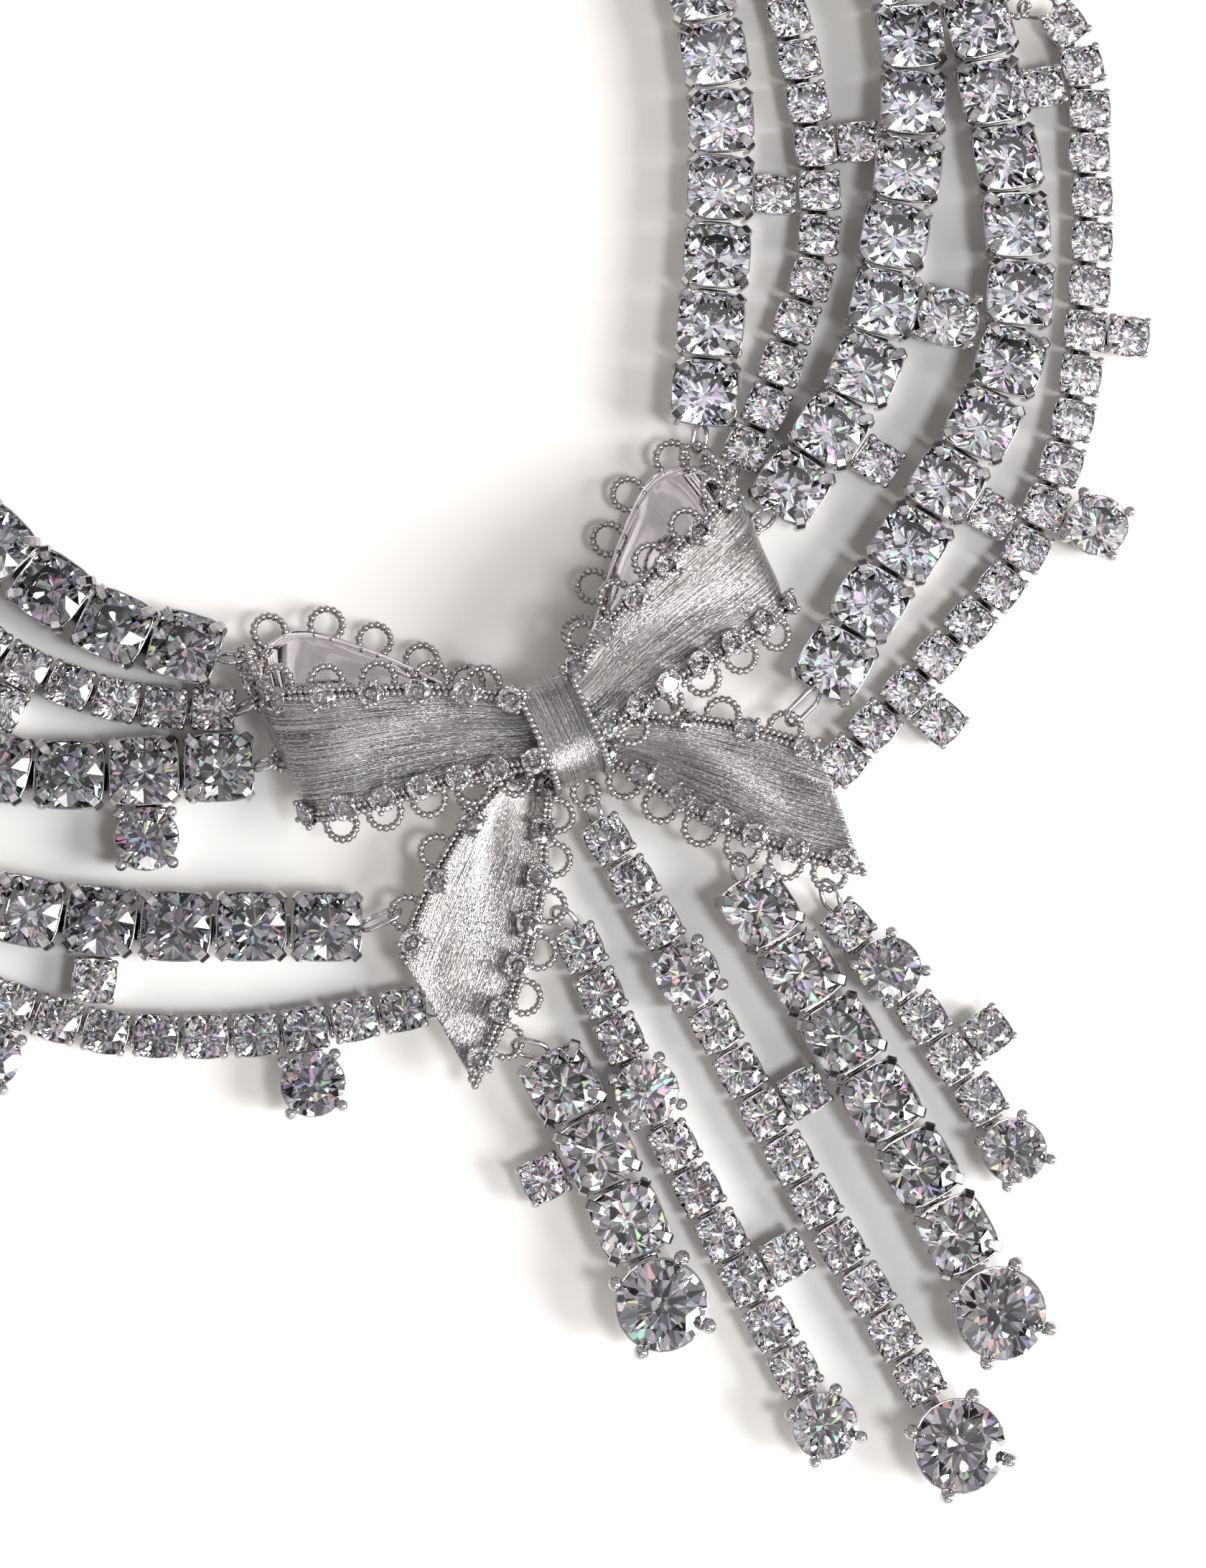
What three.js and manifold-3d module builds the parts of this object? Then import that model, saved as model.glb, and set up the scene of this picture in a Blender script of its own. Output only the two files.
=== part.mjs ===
// A bib necklace: a metal ribbon bow with a picot lace edge, five rows of set stones on each side
// that gather into one row at the nape, a fringe of five strands under the bow, and a plain clasp.
// It lies flat on a table. Units are millimetres, +X to the right, +Y towards the clasp, +Z up.
import * as THREE from "three";
import { mergeVertices } from "three/addons/utils/BufferGeometryUtils.js";
import Module from "manifold-3d";

const wasm = await Module();
wasm.setup();

// Settings of the stones: width of the cup, height of the girdle and of the stone's table above
// the ground, the table's share of the girdle, how much of each side a girdle's corner cuts off,
// and the sides of the table.
const REGULAR = 1 / (2 + Math.SQRT2);
const SETTINGS = {
  small: { cup: 5.2, girdle: 2.8, table: 3.9, flat: 0.56, cut: 0.2, tableSides: 4 },
  large: { cup: 8.1, girdle: 4.2, table: 5.8, flat: 0.56, cut: 0.25, tableSides: 4 },
  medium: { cup: 7.5, girdle: 4.0, table: 5.4, flat: 0.58, cut: REGULAR, tableSides: 8 },
  drop: { cup: 10.6, girdle: 5.2, table: 7.2, flat: 0.58, cut: REGULAR, tableSides: 8 },
};
const LINK_GAP = 0.42; // between two cups of a row, on a straight run
const SIDE_GAP = 0.05; // between a row's cup and a side stone's cup
const TIGHT_GAP = 0.16; // least gap at the inner corners of a bend
const HINGE_HEIGHT = 1.3; // height of the bar that joins two cups
const HINGE_SHARE = 0.6; // width of that bar, as a share of the smaller cup

// The ribbon of the bow, its lace, and the rings that the rows hang from.
const RIBBON = 0.9; // thickness of the ribbon
const PICOT_RADIUS = 1.85; // of the wire's centre line
const PICOT_REACH = 3.1; // from the ribbon's edge to the wire's centre line at the tip
const EYE_RADIUS = 1.4;
const LOOP_WIRE = 0.6; // thickness of the wire of picots and eyes
const WIRE_CORNER = 0.36; // from that wire's centre line to the corners of its three-sided section
const WIRE_STEPS = 6; // straight pieces of wire in a picot or an eye
const WIRE_SPAN = 1.92; // from a wire loop's tip to its sunk ends, as a share of its radius
const EYE_TO_WALL = 2.0; // from an eye's tip to the wall of the cup that hangs there
const RING_WIRE = 0.7;
const RING_RISE = 1.5; // half the height of a ring, at its wire's centre line
const CLEARANCE = 0.35; // between pieces that hold each other
const BITE = 0.3; // how far soldered pieces go into each other
const LOW_EYE = 1.1; // height of the eye under a tail, at its wire's centre line
const LOW_EYE_TO_WALL = 2.3;

// The band of the knot, round the stacked ribbons, with its rise over the loops' height and the
// height of the eye under it.
const KNOT = { width: 6.2, north: 6.0, south: 6.6, bottom: 0.25, over: 0.2, wall: 0.8, round: 1.6, eye: 2.6 };
const CLASP = { length: 15, width: 7, height: 4, round: 1.8, y: 147 };
const ROUND_STEPS = 3; // flats in each rounded corner of the knot and the clasp

// One loop of the bow: the upper rim and the lower rim of the ribbon, from the knot along the
// front, round the fold and back to the knot. Shares of LOOP's reach, rise and height in x, y and z.
const LOOP = { reach: 29.4, rise: 23.4, height: 11.0, crown: 0.5, steps: 18 };
const LOOP_SECTIONS = [
  { rimX: 0.022, rimY: 0.2, rimZ: 0.87, hemX: 0.022, hemY: -0.15, hemZ: 0.84 },
  { rimX: 0.12, rimY: 0.2, rimZ: 0.88, hemX: 0.12, hemY: -0.15, hemZ: 0.83 },
  { rimX: 0.34, rimY: 0.345, rimZ: 0.97, hemX: 0.32, hemY: -0.08, hemZ: 0.8 },
  { rimX: 0.58, rimY: 0.48, rimZ: 1.0, hemX: 0.56, hemY: -0.03, hemZ: 0.78 },
  { rimX: 0.82, rimY: 0.6, rimZ: 0.96, hemX: 0.82, hemY: 0.02, hemZ: 0.7 },
  { rimX: 0.95, rimY: 0.7, rimZ: 0.8, hemX: 0.965, hemY: 0.07, hemZ: 0.54 },
  { rimX: 0.98, rimY: 0.82, rimZ: 0.54, hemX: 1.0, hemY: 0.13, hemZ: 0.34 },
  { rimX: 0.93, rimY: 0.96, rimZ: 0.3, hemX: 0.96, hemY: 0.17, hemZ: 0.16 },
  { rimX: 0.78, rimY: 1.0, rimZ: 0.2, hemX: 0.78, hemY: 0.17, hemZ: 0.1 },
  { rimX: 0.54, rimY: 0.77, rimZ: 0.16, hemX: 0.5, hemY: 0.11, hemZ: 0.1 },
  { rimX: 0.31, rimY: 0.44, rimZ: 0.16, hemX: 0.27, hemY: 0.03, hemZ: 0.13 },
  { rimX: 0.12, rimY: 0.185, rimZ: 0.157, hemX: 0.12, hemY: -0.06, hemZ: 0.155 },
  { rimX: 0.022, rimY: 0.18, rimZ: 0.155, hemX: 0.022, hemY: -0.08, hemZ: 0.155 },
];
// The tails: the outer and inner edges, from the knot to the slanting cut. Shares of each tail's size.
const TAILS = {
  left: { reach: 26.9, rise: 32.8, height: 4.2, crown: 1.0, steps: 8 },
  right: { reach: 26.3, rise: 29, height: 4.65, crown: 1.0, steps: 8 },
};
const TAIL_SECTIONS = [
  { rimX: 0.022, rimY: -0.02, rimZ: 0.69, hemX: 0.022, hemY: -0.16, hemZ: 0.69 },
  { rimX: 0.125, rimY: -0.03, rimZ: 0.7, hemX: 0.12, hemY: -0.168, hemZ: 0.7 },
  { rimX: 0.32, rimY: -0.09, rimZ: 0.82, hemX: 0.235, hemY: -0.3, hemZ: 0.82 },
  { rimX: 0.54, rimY: -0.18, rimZ: 0.92, hemX: 0.33, hemY: -0.45, hemZ: 0.92 },
  { rimX: 0.74, rimY: -0.3, rimZ: 0.98, hemX: 0.48, hemY: -0.63, hemZ: 1.0 },
  { rimX: 0.89, rimY: -0.41, rimZ: 1.0, hemX: 0.68, hemY: -0.81, hemZ: 1.0 },
  { rimX: 1.0, rimY: -0.515, rimZ: 1.0, hemX: 0.945, hemY: -1.0, hemZ: 1.0 },
];
// Where picots stand along each edge, as shares of its length.
const LOOP_RIM_PICOTS = { first: 0.09, last: 0.87, count: 11 };
const LOOP_HEM_PICOTS = { first: 0.1, last: 0.43, count: 5 };
const TAIL_RIM_PICOTS = { first: 0.36, last: 0.84, count: 3 };
const TAIL_HEM_PICOTS = {
  left: { first: 0.16, last: 0.85, count: 6 },
  right: { first: 0.18, last: 0.9, count: 6 },
};
// Where eyes may stand, as shares along the ribbon: those for rows 1 to 3 on a loop's fold, and
// that for row 5 under a tail's cut end. The nearest of some stations and lanes of it is taken.
const FOLD = { first: 0.5, last: 0.72 };
const CUT_END = { first: 0.7, last: 1 };
const STATIONS = 20;
const LANES = 11;

// Routes of the rows and of the fringe, chosen by hand. The first point is the first stone's
// centre, by the bow, and the others follow from there outwards.
const ROUTES = {
  row_1_left: [[-35.2, 26.5], [-41.5, 31.8], [-46.6, 39.1], [-50.3, 46.6], [-52.8, 56], [-54.4, 66],
    [-54.6, 77], [-53.3, 91], [-49, 105.5], [-41.4, 120], [-30.5, 132.5], [-20, 140.5]],
  row_1_right: [[32.3, 29.8], [36.4, 37.1], [40.6, 44.4], [44.4, 51.6], [47.9, 58.9], [50.7, 66.3],
    [52.6, 74], [54.2, 83], [54.4, 93], [51.2, 107], [43.5, 122.3], [32, 135.8], [20.5, 143.4]],
  row_2_left: [[-35.1, 18.7], [-40.1, 21.1], [-44.7, 24.2], [-48.9, 27.8], [-53, 32.2], [-56.6, 38],
    [-59.2, 45], [-61.2, 53], [-62.6, 62], [-63.6, 71], [-63.8, 79]],
  row_2_right: [[34.2, 22], [38.5, 25.6], [42.3, 29.6], [46.4, 34], [50.3, 38], [53.4, 42.6],
    [55.9, 47.8], [57.8, 53.1], [59.4, 59], [60.9, 64.6], [62, 70], [62.8, 78]],
  row_3_left: [[-37.2, 11.9], [-45, 15], [-52.7, 17.9], [-59.5, 21.8], [-65.8, 27.4], [-70.4, 34.2],
    [-73.6, 42], [-75.6, 51], [-76.2, 61], [-75, 72], [-71.6, 82.5], [-66.5, 90]],
  row_3_right: [[36.8, 15.3], [44.2, 19.9], [50.9, 24.8], [56.3, 31], [61, 38], [66.1, 45],
    [70.2, 52], [73.6, 59.4], [75.3, 67], [74.9, 76], [72, 85], [67.5, 92]],
  row_4_left: [[-33.3, -9.9], [-41, -6.4], [-48.8, -2.9], [-56.3, 1.2], [-63.4, 5.6], [-70.4, 11.2],
    [-76.6, 18.2], [-81.2, 26.4], [-83.8, 35], [-85, 44], [-84.8, 52]],
  row_4_right: [[32.4, -5.8], [39.4, -0.9], [46.7, 3.6], [53.8, 8.4], [60.8, 13.2], [67.2, 19],
    [71.9, 26], [75.3, 34], [78, 42.4], [80.1, 51], [82.3, 59.4]],
  row_5_left: [[-29.2, -21.9], [-34.5, -20.7], [-39.7, -19.5], [-44.9, -17.9], [-50, -15.9],
    [-54.9, -13.6], [-60, -10.9], [-64.6, -7.4], [-68.9, -3.5], [-75, 2.6], [-80.8, 9.8],
    [-86, 18], [-89.8, 27], [-92.2, 37], [-93.2, 44], [-93, 49]],
  row_5_right: [[28.6, -16.5], [33.5, -14.3], [38.5, -12.3], [43.5, -10.1], [48.6, -7.9], [53.8, -5.6],
    [58.9, -2.7], [63.3, 1.2], [67.3, 5], [70.9, 9.2], [74.3, 13.9], [77.3, 18.8], [80.2, 23.5],
    [83, 28.5], [85.5, 33.6], [87.8, 39], [90.5, 44.4], [92, 49.9], [92, 55.4]],
  fringe_1: [[-16.4, -37.1], [-15.9, -45.6], [-15.9, -53.9], [-17, -72]],
  fringe_2: [[-8, -23.8], [-8.1, -30], [-8.1, -41], [-7.4, -52.9], [-6.7, -64.2], [-5.9, -75.4],
    [-4.9, -92]],
  fringe_3: [[0, -13.7], [0.6, -19], [1.6, -30.6], [2.5, -42.6], [3.5, -53.8], [4.6, -65.4],
    [5.8, -76.4], [7.8, -100]],
  fringe_4: [[12.3, -28.3], [13.6, -36.5], [14.7, -45.1], [15.6, -53.9], [16.3, -62.1], [17, -70.2],
    [17.8, -88]],
  fringe_5: [[21, -34], [22.8, -39.8], [24.1, -45.9], [24.9, -51], [25.9, -56.2], [27.8, -72]],
};
// What each row holds. A row either repeats the stone it is filled with to the end of its route,
// or lists its stones in order. The stones that stand at its sides come with the place in the row
// of the stone they stand by, on the left (+1) or the right (-1) looking away from the bow. A row
// that joins another ends in an eye on the outer side of that row's stone, moved along the stone
// by a share of its cup.
const ROWS = {
  row_1_left: { fill: "large" },
  row_1_right: { fill: "large", sides: [{ at: 3, side: -1, kind: "small" }] },
  row_2_left: {
    fill: "small",
    joins: { row: "row_1_left", at: 7, shift: -0.2 },
    sides: [{ at: 4, side: 1, kind: "small" }],
  },
  row_2_right: {
    fill: "small",
    joins: { row: "row_1_right", at: 7, shift: 0 },
    sides: [{ at: 7, side: -1, kind: "small" }],
  },
  row_3_left: {
    fill: "large",
    joins: { row: "row_1_left", at: 9, shift: -0.25 },
    sides: [{ at: 1, side: 1, kind: "medium" }],
  },
  row_3_right: {
    fill: "large",
    joins: { row: "row_1_right", at: 9, shift: 0.2 },
    sides: [{ at: 1, side: -1, kind: "small" }, { at: 3, side: -1, kind: "medium" }],
  },
  row_4_left: {
    fill: "large",
    joins: { row: "row_3_left", at: 8, shift: -0.25 },
    sides: [{ at: 3, side: 1, kind: "small" }],
  },
  row_4_right: {
    fill: "large",
    joins: { row: "row_3_right", at: 8, shift: -0.25 },
    sides: [{ at: 3, side: -1, kind: "small" }, { at: 9, side: -1, kind: "small" }],
  },
  row_5_left: {
    fill: "small",
    joins: { row: "row_4_left", at: 10, shift: 0.2 },
    sides: [{ at: 2, side: 1, kind: "medium" }, { at: 8, side: 1, kind: "medium" }],
  },
  row_5_right: {
    fill: "small",
    joins: { row: "row_4_right", at: 10, shift: 0.2 },
    sides: [
      { at: 2, side: -1, kind: "small" },
      { at: 7, side: -1, kind: "medium" },
      { at: 11, side: -1, kind: "small" },
    ],
  },
  fringe_1: { stones: "large large large drop", sides: [{ at: 1, side: -1, kind: "small" }] },
  fringe_2: {
    stones: "small small small medium small small small small small small medium",
    sides: [{ at: 7, side: 1, kind: "small" }],
  },
  fringe_3: {
    stones: "small small small medium small small small small small small small small small drop",
    sides: [{ at: 6, side: 1, kind: "small" }],
  },
  fringe_4: { stones: "large large large large large large drop" },
  fringe_5: {
    stones: "small medium small small small medium",
    sides: [{ at: 3, side: 1, kind: "small" }],
  },
};

const SILVER = new THREE.MeshStandardMaterial({ color: 0xc9c6c4, roughness: 0.3, metalness: 1 });
const STONES = new THREE.MeshStandardMaterial({ color: 0xd5d6e4, roughness: 0.05, metalness: 0.1 });

// A closed geometry as a solid, and a solid as a geometry.
function solidOf(geometry) {
  const plain = geometry.clone();
  plain.deleteAttribute("normal");
  plain.deleteAttribute("uv");
  const merged = mergeVertices(plain, 1e-4);
  return new wasm.Manifold(
    new wasm.Mesh({
      numProp: 3,
      vertProperties: new Float32Array(merged.attributes.position.array),
      triVerts: new Uint32Array(merged.index.array),
    }),
  );
}
function geometryOf(solid) {
  const mesh = solid.getMesh();
  const geometry = new THREE.BufferGeometry();
  geometry.setAttribute("position", new THREE.BufferAttribute(new Float32Array(mesh.vertProperties), 3));
  geometry.setIndex(new THREE.BufferAttribute(new Uint32Array(mesh.triVerts), 1));
  geometry.computeVertexNormals();
  return geometry;
}
function joined(solids) {
  return solids.reduce((whole, solid) => whole.add(solid));
}
// A geometry from a plain list of triangles, each three Vector3.
function geometryFrom(triangles) {
  const geometry = new THREE.BufferGeometry().setFromPoints(triangles.flat());
  return geometry;
}
function fan(triangles, hub, ...rest) {
  for (let i = 0; i + 1 < rest.length; i++) triangles.push([hub, rest[i], rest[i + 1]]);
}

const flat = (v, z) => new THREE.Vector3(v.x, v.y, z);
const leftOf = (v) => new THREE.Vector2(-v.y, v.x);
const along = (from, direction, length) => from.clone().addScaledVector(direction, length);

// A row of cups with their stones. Each link has a kind, a centre and a direction, and two links
// share the low hinge bar between them, so the row is one closed body.
function rowGeometry(links, rootInside = 0) {
  const triangles = [];
  const hinges = [];
  for (let i = 0; i <= links.length; i++) {
    const before = links[i - 1];
    const after = links[i];
    const halfBefore = before ? SETTINGS[before.kind].cup / 2 : 0;
    const halfAfter = after ? SETTINGS[after.kind].cup / 2 : 0;
    let at;
    let direction;
    if (before && after) {
      const end = along(before.centre, before.direction, halfBefore);
      at = end.lerp(along(after.centre, after.direction, -halfAfter), 0.5);
      direction = before.direction.clone().add(after.direction).normalize();
    } else if (after) {
      direction = after.direction.clone();
      at = along(after.centre, direction, -halfAfter - LINK_GAP / 2 - rootInside);
    } else {
      direction = before.direction.clone();
      at = along(before.centre, direction, halfBefore + LINK_GAP / 2);
    }
    const smaller = Math.min(halfBefore || Infinity, halfAfter || Infinity);
    const side = leftOf(direction).multiplyScalar(smaller * HINGE_SHARE);
    const left = at.clone().add(side);
    const right = at.clone().sub(side);
    hinges.push({
      at,
      direction,
      lowLeft: flat(left, 0),
      lowRight: flat(right, 0),
      topLeft: flat(left, HINGE_HEIGHT),
      topRight: flat(right, HINGE_HEIGHT),
    });
  }
  links.forEach((link, i) => {
    const set = SETTINGS[link.kind];
    const from = hinges[i];
    const to = hinges[i + 1];
    const half = set.cup / 2;
    // A corner of the cup, kept clear of the neighbour across the hinge on a bend.
    const cornerAt = (end, side) => {
      const middle = along(link.centre, link.direction, end * half);
      const corner = along(middle, leftOf(link.direction), side * half);
      const hinge = end < 0 ? from : to;
      const room = -end * corner.clone().sub(hinge.at).dot(hinge.direction) - TIGHT_GAP / 2;
      const slant = link.direction.dot(hinge.direction);
      if (room < 0) corner.addScaledVector(link.direction, (end * room) / slant);
      return corner;
    };
    const square = [cornerAt(-1, -1), cornerAt(1, -1), cornerAt(1, 1), cornerAt(-1, 1)];
    const ring = square.flatMap((corner, k) => {
      const next = square[(k + 1) % 4];
      return [corner.clone().lerp(next, set.cut), corner.clone().lerp(next, 1 - set.cut)];
    });
    // ring: two points on the right side, two on the end, two on the left side, two on the start
    const girdle = ring.map((v) => flat(v, set.girdle));
    const [right1, right2, end1, end2, left1, left2, start1, start2] = girdle;
    fan(triangles, from.lowLeft, to.lowLeft, to.lowRight, from.lowRight);
    fan(triangles, from.lowRight, to.lowRight, to.topRight, from.topRight);
    fan(triangles, to.lowLeft, from.lowLeft, from.topLeft, to.topLeft);
    fan(triangles, from.topRight, to.topRight, right2, right1, start2);
    fan(triangles, to.topRight, to.topLeft, end2, end1, right2);
    fan(triangles, to.topLeft, from.topLeft, left2, left1, end2);
    fan(triangles, from.topLeft, from.topRight, start2, start1, left2);
    crown(triangles, link.centre, girdle, set);
  });
  const first = hinges[0];
  const last = hinges[links.length];
  fan(triangles, first.lowLeft, first.lowRight, first.topRight, first.topLeft);
  fan(triangles, last.lowRight, last.lowLeft, last.topLeft, last.topRight);
  return geometryFrom(triangles);
}

// The crown of a stone over its girdle: eight facets and a table of eight or four sides.
function crown(triangles, centre, girdle, set) {
  const inward = (v) => flat(centre.clone().lerp(v, set.flat), set.table);
  if (set.tableSides === 8) {
    const table = girdle.map(inward);
    girdle.forEach((v, k) => {
      const n = (k + 1) % 8;
      fan(triangles, v, girdle[n], table[n], table[k]);
    });
    fan(triangles, ...table);
    return;
  }
  const table = [1, 3, 5, 7].map((k) => inward(girdle[k].clone().lerp(girdle[(k + 1) % 8], 0.5)));
  table.forEach((v, j) => {
    const cut = girdle[(j * 2 + 1) % 8];
    const next = girdle[(j * 2 + 2) % 8];
    const after = girdle[(j * 2 + 3) % 8];
    triangles.push([cut, next, v]);
    fan(triangles, v, next, after, table[(j + 1) % 4]);
  });
  fan(triangles, ...table);
}

// An arc of wire in the plane of two directions, from one end to the other.
class WireArc extends THREE.Curve {
  constructor(centre, outward, sideways, radius, sweep) {
    super();
    Object.assign(this, { centre, outward, sideways, radius, sweep });
  }
  getPoint(t) {
    const angle = (t - 0.5) * this.sweep;
    return this.centre
      .clone()
      .addScaledVector(this.outward, this.radius * Math.cos(angle))
      .addScaledVector(this.sideways, this.radius * Math.sin(angle));
  }
}
// A loop of wire that stands out from a root, with both ends sunk in it. Its tip is the outermost
// point of the wire's centre line.
function wireLoop(root, outward, sideways, least, reach) {
  const radius = Math.max(least, (reach + BITE) / WIRE_SPAN);
  const centre = root.clone().addScaledVector(outward, reach - radius);
  const sweep = 2 * Math.acos(-(reach - radius + BITE) / radius);
  const shape = new THREE.Shape([0, 1, 2].map((k) => {
    const angle = (k * 2 * Math.PI) / 3;
    return new THREE.Vector2(Math.cos(angle), Math.sin(angle)).multiplyScalar(WIRE_CORNER);
  }));
  const extrudePath = new WireArc(centre, outward, sideways, radius, sweep);
  const geometry = new THREE.ExtrudeGeometry(shape, { steps: WIRE_STEPS, extrudePath, bevelEnabled: false });
  const tip = centre.clone().addScaledVector(outward, radius);
  const hole = tip.clone().addScaledVector(outward, -LOOP_WIRE / 2 - CLEARANCE - RING_WIRE / 2);
  return { solid: solidOf(geometry), tip, hole };
}
// A lying eye that reaches from its root towards a cup's wall.
function eyeTowards(root, wall) {
  const outward = flat(wall.clone().sub(root), 0);
  const distance = outward.length();
  outward.normalize();
  const sideways = new THREE.Vector3(-outward.y, outward.x, 0);
  const least = RING_WIRE + LOOP_WIRE / 2 + 2 * CLEARANCE;
  return wireLoop(root, outward, sideways, EYE_RADIUS, Math.max(least, distance - EYE_TO_WALL));
}

// A ribbon between a rim and a hem that follow the sections, with a soft crown between them.
function ribbonOf(sections, size, mirror) {
  const { steps } = size;
  const place = (x, y, z) => new THREE.Vector3(mirror * x * size.reach, y * size.rise, z * size.height);
  const rim = new THREE.CatmullRomCurve3(sections.map((s) => place(s.rimX, s.rimY, s.rimZ)));
  const hem = new THREE.CatmullRomCurve3(sections.map((s) => place(s.hemX, s.hemY, s.hemZ)));
  const across = [0, 0.5, 1];
  const middle = (t, share) => hem.getPoint(t).lerp(rim.getPoint(t), share);
  const normalAt = (t, share) => {
    const tiny = 1e-3;
    const ahead = middle(Math.min(1, t + tiny), share).sub(middle(Math.max(0, t - tiny), share));
    return ahead.cross(rim.getPoint(t).sub(hem.getPoint(t))).normalize().multiplyScalar(mirror);
  };
  const pointAt = (t, share) => {
    const crownHere = size.crown * 4 * share * (1 - share) * Math.sin(Math.PI * t) ** 2;
    return middle(t, share).addScaledVector(normalAt(t, share), crownHere);
  };
  const grid = (offset) =>
    Array.from({ length: steps + 1 }, (_, i) =>
      across.map((share) => pointAt(i / steps, share).addScaledVector(normalAt(i / steps, share), offset)));
  const upper = grid(RIBBON / 2);
  const lower = grid(-RIBBON / 2);
  const triangles = [];
  const quad = (a, b, c, d) => (mirror > 0 ? fan(triangles, a, b, c, d) : fan(triangles, a, d, c, b));
  const wide = across.length - 1;
  for (let i = 0; i < steps; i++) {
    for (let k = 0; k < wide; k++) {
      quad(upper[i][k], upper[i + 1][k], upper[i + 1][k + 1], upper[i][k + 1]);
      quad(lower[i][k], lower[i][k + 1], lower[i + 1][k + 1], lower[i + 1][k]);
    }
    quad(upper[i][0], lower[i][0], lower[i + 1][0], upper[i + 1][0]);
    quad(upper[i][wide], upper[i + 1][wide], lower[i + 1][wide], lower[i][wide]);
  }
  for (let k = 0; k < wide; k++) {
    quad(upper[0][k], upper[0][k + 1], lower[0][k + 1], lower[0][k]);
    quad(upper[steps][k], lower[steps][k], lower[steps][k + 1], upper[steps][k + 1]);
  }
  return { solid: solidOf(geometryFrom(triangles)), rim, hem, pointAt, normalAt };
}

// Picots at even places along one edge of a ribbon.
function picotsAlong(ribbon, edge, other, places) {
  return Array.from({ length: places.count }, (_, i) => {
    const share = places.first + ((places.last - places.first) * i) / (places.count - 1);
    const root = edge.getPointAt(share);
    const tangent = edge.getTangentAt(share);
    const t = edge.getUtoTmapping(share);
    const outward = root.clone().sub(other.getPoint(t));
    outward.addScaledVector(tangent, -outward.dot(tangent)).normalize();
    return wireLoop(root, outward, tangent, PICOT_RADIUS, PICOT_REACH);
  });
}

// The point of a ribbon, in a stretch of its length, that is nearest to a target.
function nearestOn(ribbon, target, { first, last }) {
  const tries = Array.from({ length: STATIONS * LANES }, (_, i) => {
    const station = Math.floor(i / LANES) / (STATIONS - 1);
    return ribbon.pointAt(first + (last - first) * station, (i % LANES) / (LANES - 1));
  });
  return tries.reduce((best, p) => (p.distanceTo(target) < best.distanceTo(target) ? p : best));
}

// A loop of the bow with its lace, and the eyes on its fold for rows 1 to 3.
function bowLoop(mirror, walls) {
  const ribbon = ribbonOf(LOOP_SECTIONS, LOOP, mirror);
  const picots = [
    ...picotsAlong(ribbon, ribbon.rim, ribbon.hem, LOOP_RIM_PICOTS),
    ...picotsAlong(ribbon, ribbon.hem, ribbon.rim, LOOP_HEM_PICOTS),
  ];
  const eyes = walls.map((wall) => eyeTowards(nearestOn(ribbon, wall, FOLD), wall));
  return { solid: joined([ribbon, ...picots, ...eyes].map((piece) => piece.solid)), eyes };
}

// A tail of the bow with its lace, and the eye under its cut end for row 5.
function bowTail(side, mirror, firstLink) {
  const ribbon = ribbonOf(TAIL_SECTIONS, TAILS[side], mirror);
  const picots = [
    ...picotsAlong(ribbon, ribbon.rim, ribbon.hem, TAIL_RIM_PICOTS),
    ...picotsAlong(ribbon, ribbon.hem, ribbon.rim, TAIL_HEM_PICOTS[side]),
  ];
  const rowDirection = flat(firstLink.direction, 0);
  const under = wallOf(firstLink, -1).addScaledVector(rowDirection, -LOW_EYE_TO_WALL);
  const root = flat(under, nearestOn(ribbon, under, CUT_END).z - RIBBON / 2);
  const down = new THREE.Vector3(0, 0, -1);
  const eye = wireLoop(root, down, rowDirection, RING_WIRE / 2 + CLEARANCE + LOOP_WIRE / 2, root.z - LOW_EYE);
  return { solid: joined([ribbon, ...picots, eye].map((piece) => piece.solid)), picots, eye };
}

// The band round the stacked ribbons, and the eye under it for the middle strand of the fringe.
function bowKnot(wall) {
  const outline = (inset) => {
    const shape = new THREE.Shape();
    const round = KNOT.round - inset * 0.5;
    const [low, high] = [KNOT.bottom + inset, LOOP.height + KNOT.over - inset];
    const [south, north] = [-KNOT.south + inset, KNOT.north - inset];
    shape.moveTo(south + round, low);
    shape.lineTo(north - round, low);
    shape.absarc(north - round, low + round, round, -Math.PI / 2, 0);
    shape.absarc(north - round, high - round, round, 0, Math.PI / 2);
    shape.absarc(south + round, high - round, round, Math.PI / 2, Math.PI);
    shape.absarc(south + round, low + round, round, Math.PI, Math.PI * 1.5);
    return shape;
  };
  const band = outline(0);
  band.holes.push(new THREE.Path(outline(KNOT.wall).getPoints(ROUND_STEPS).reverse()));
  const settings = { depth: KNOT.width, curveSegments: ROUND_STEPS, bevelEnabled: false };
  const geometry = new THREE.ExtrudeGeometry(band, settings);
  const turn = new THREE.Matrix4().makeBasis(
    new THREE.Vector3(0, 1, 0), new THREE.Vector3(0, 0, 1), new THREE.Vector3(1, 0, 0));
  geometry.applyMatrix4(turn).translate(-KNOT.width / 2, 0, 0);
  const eye = eyeTowards(new THREE.Vector3(0, -KNOT.south, KNOT.eye), wall);
  return { solid: joined([solidOf(geometry), eye.solid]), eye };
}

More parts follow.
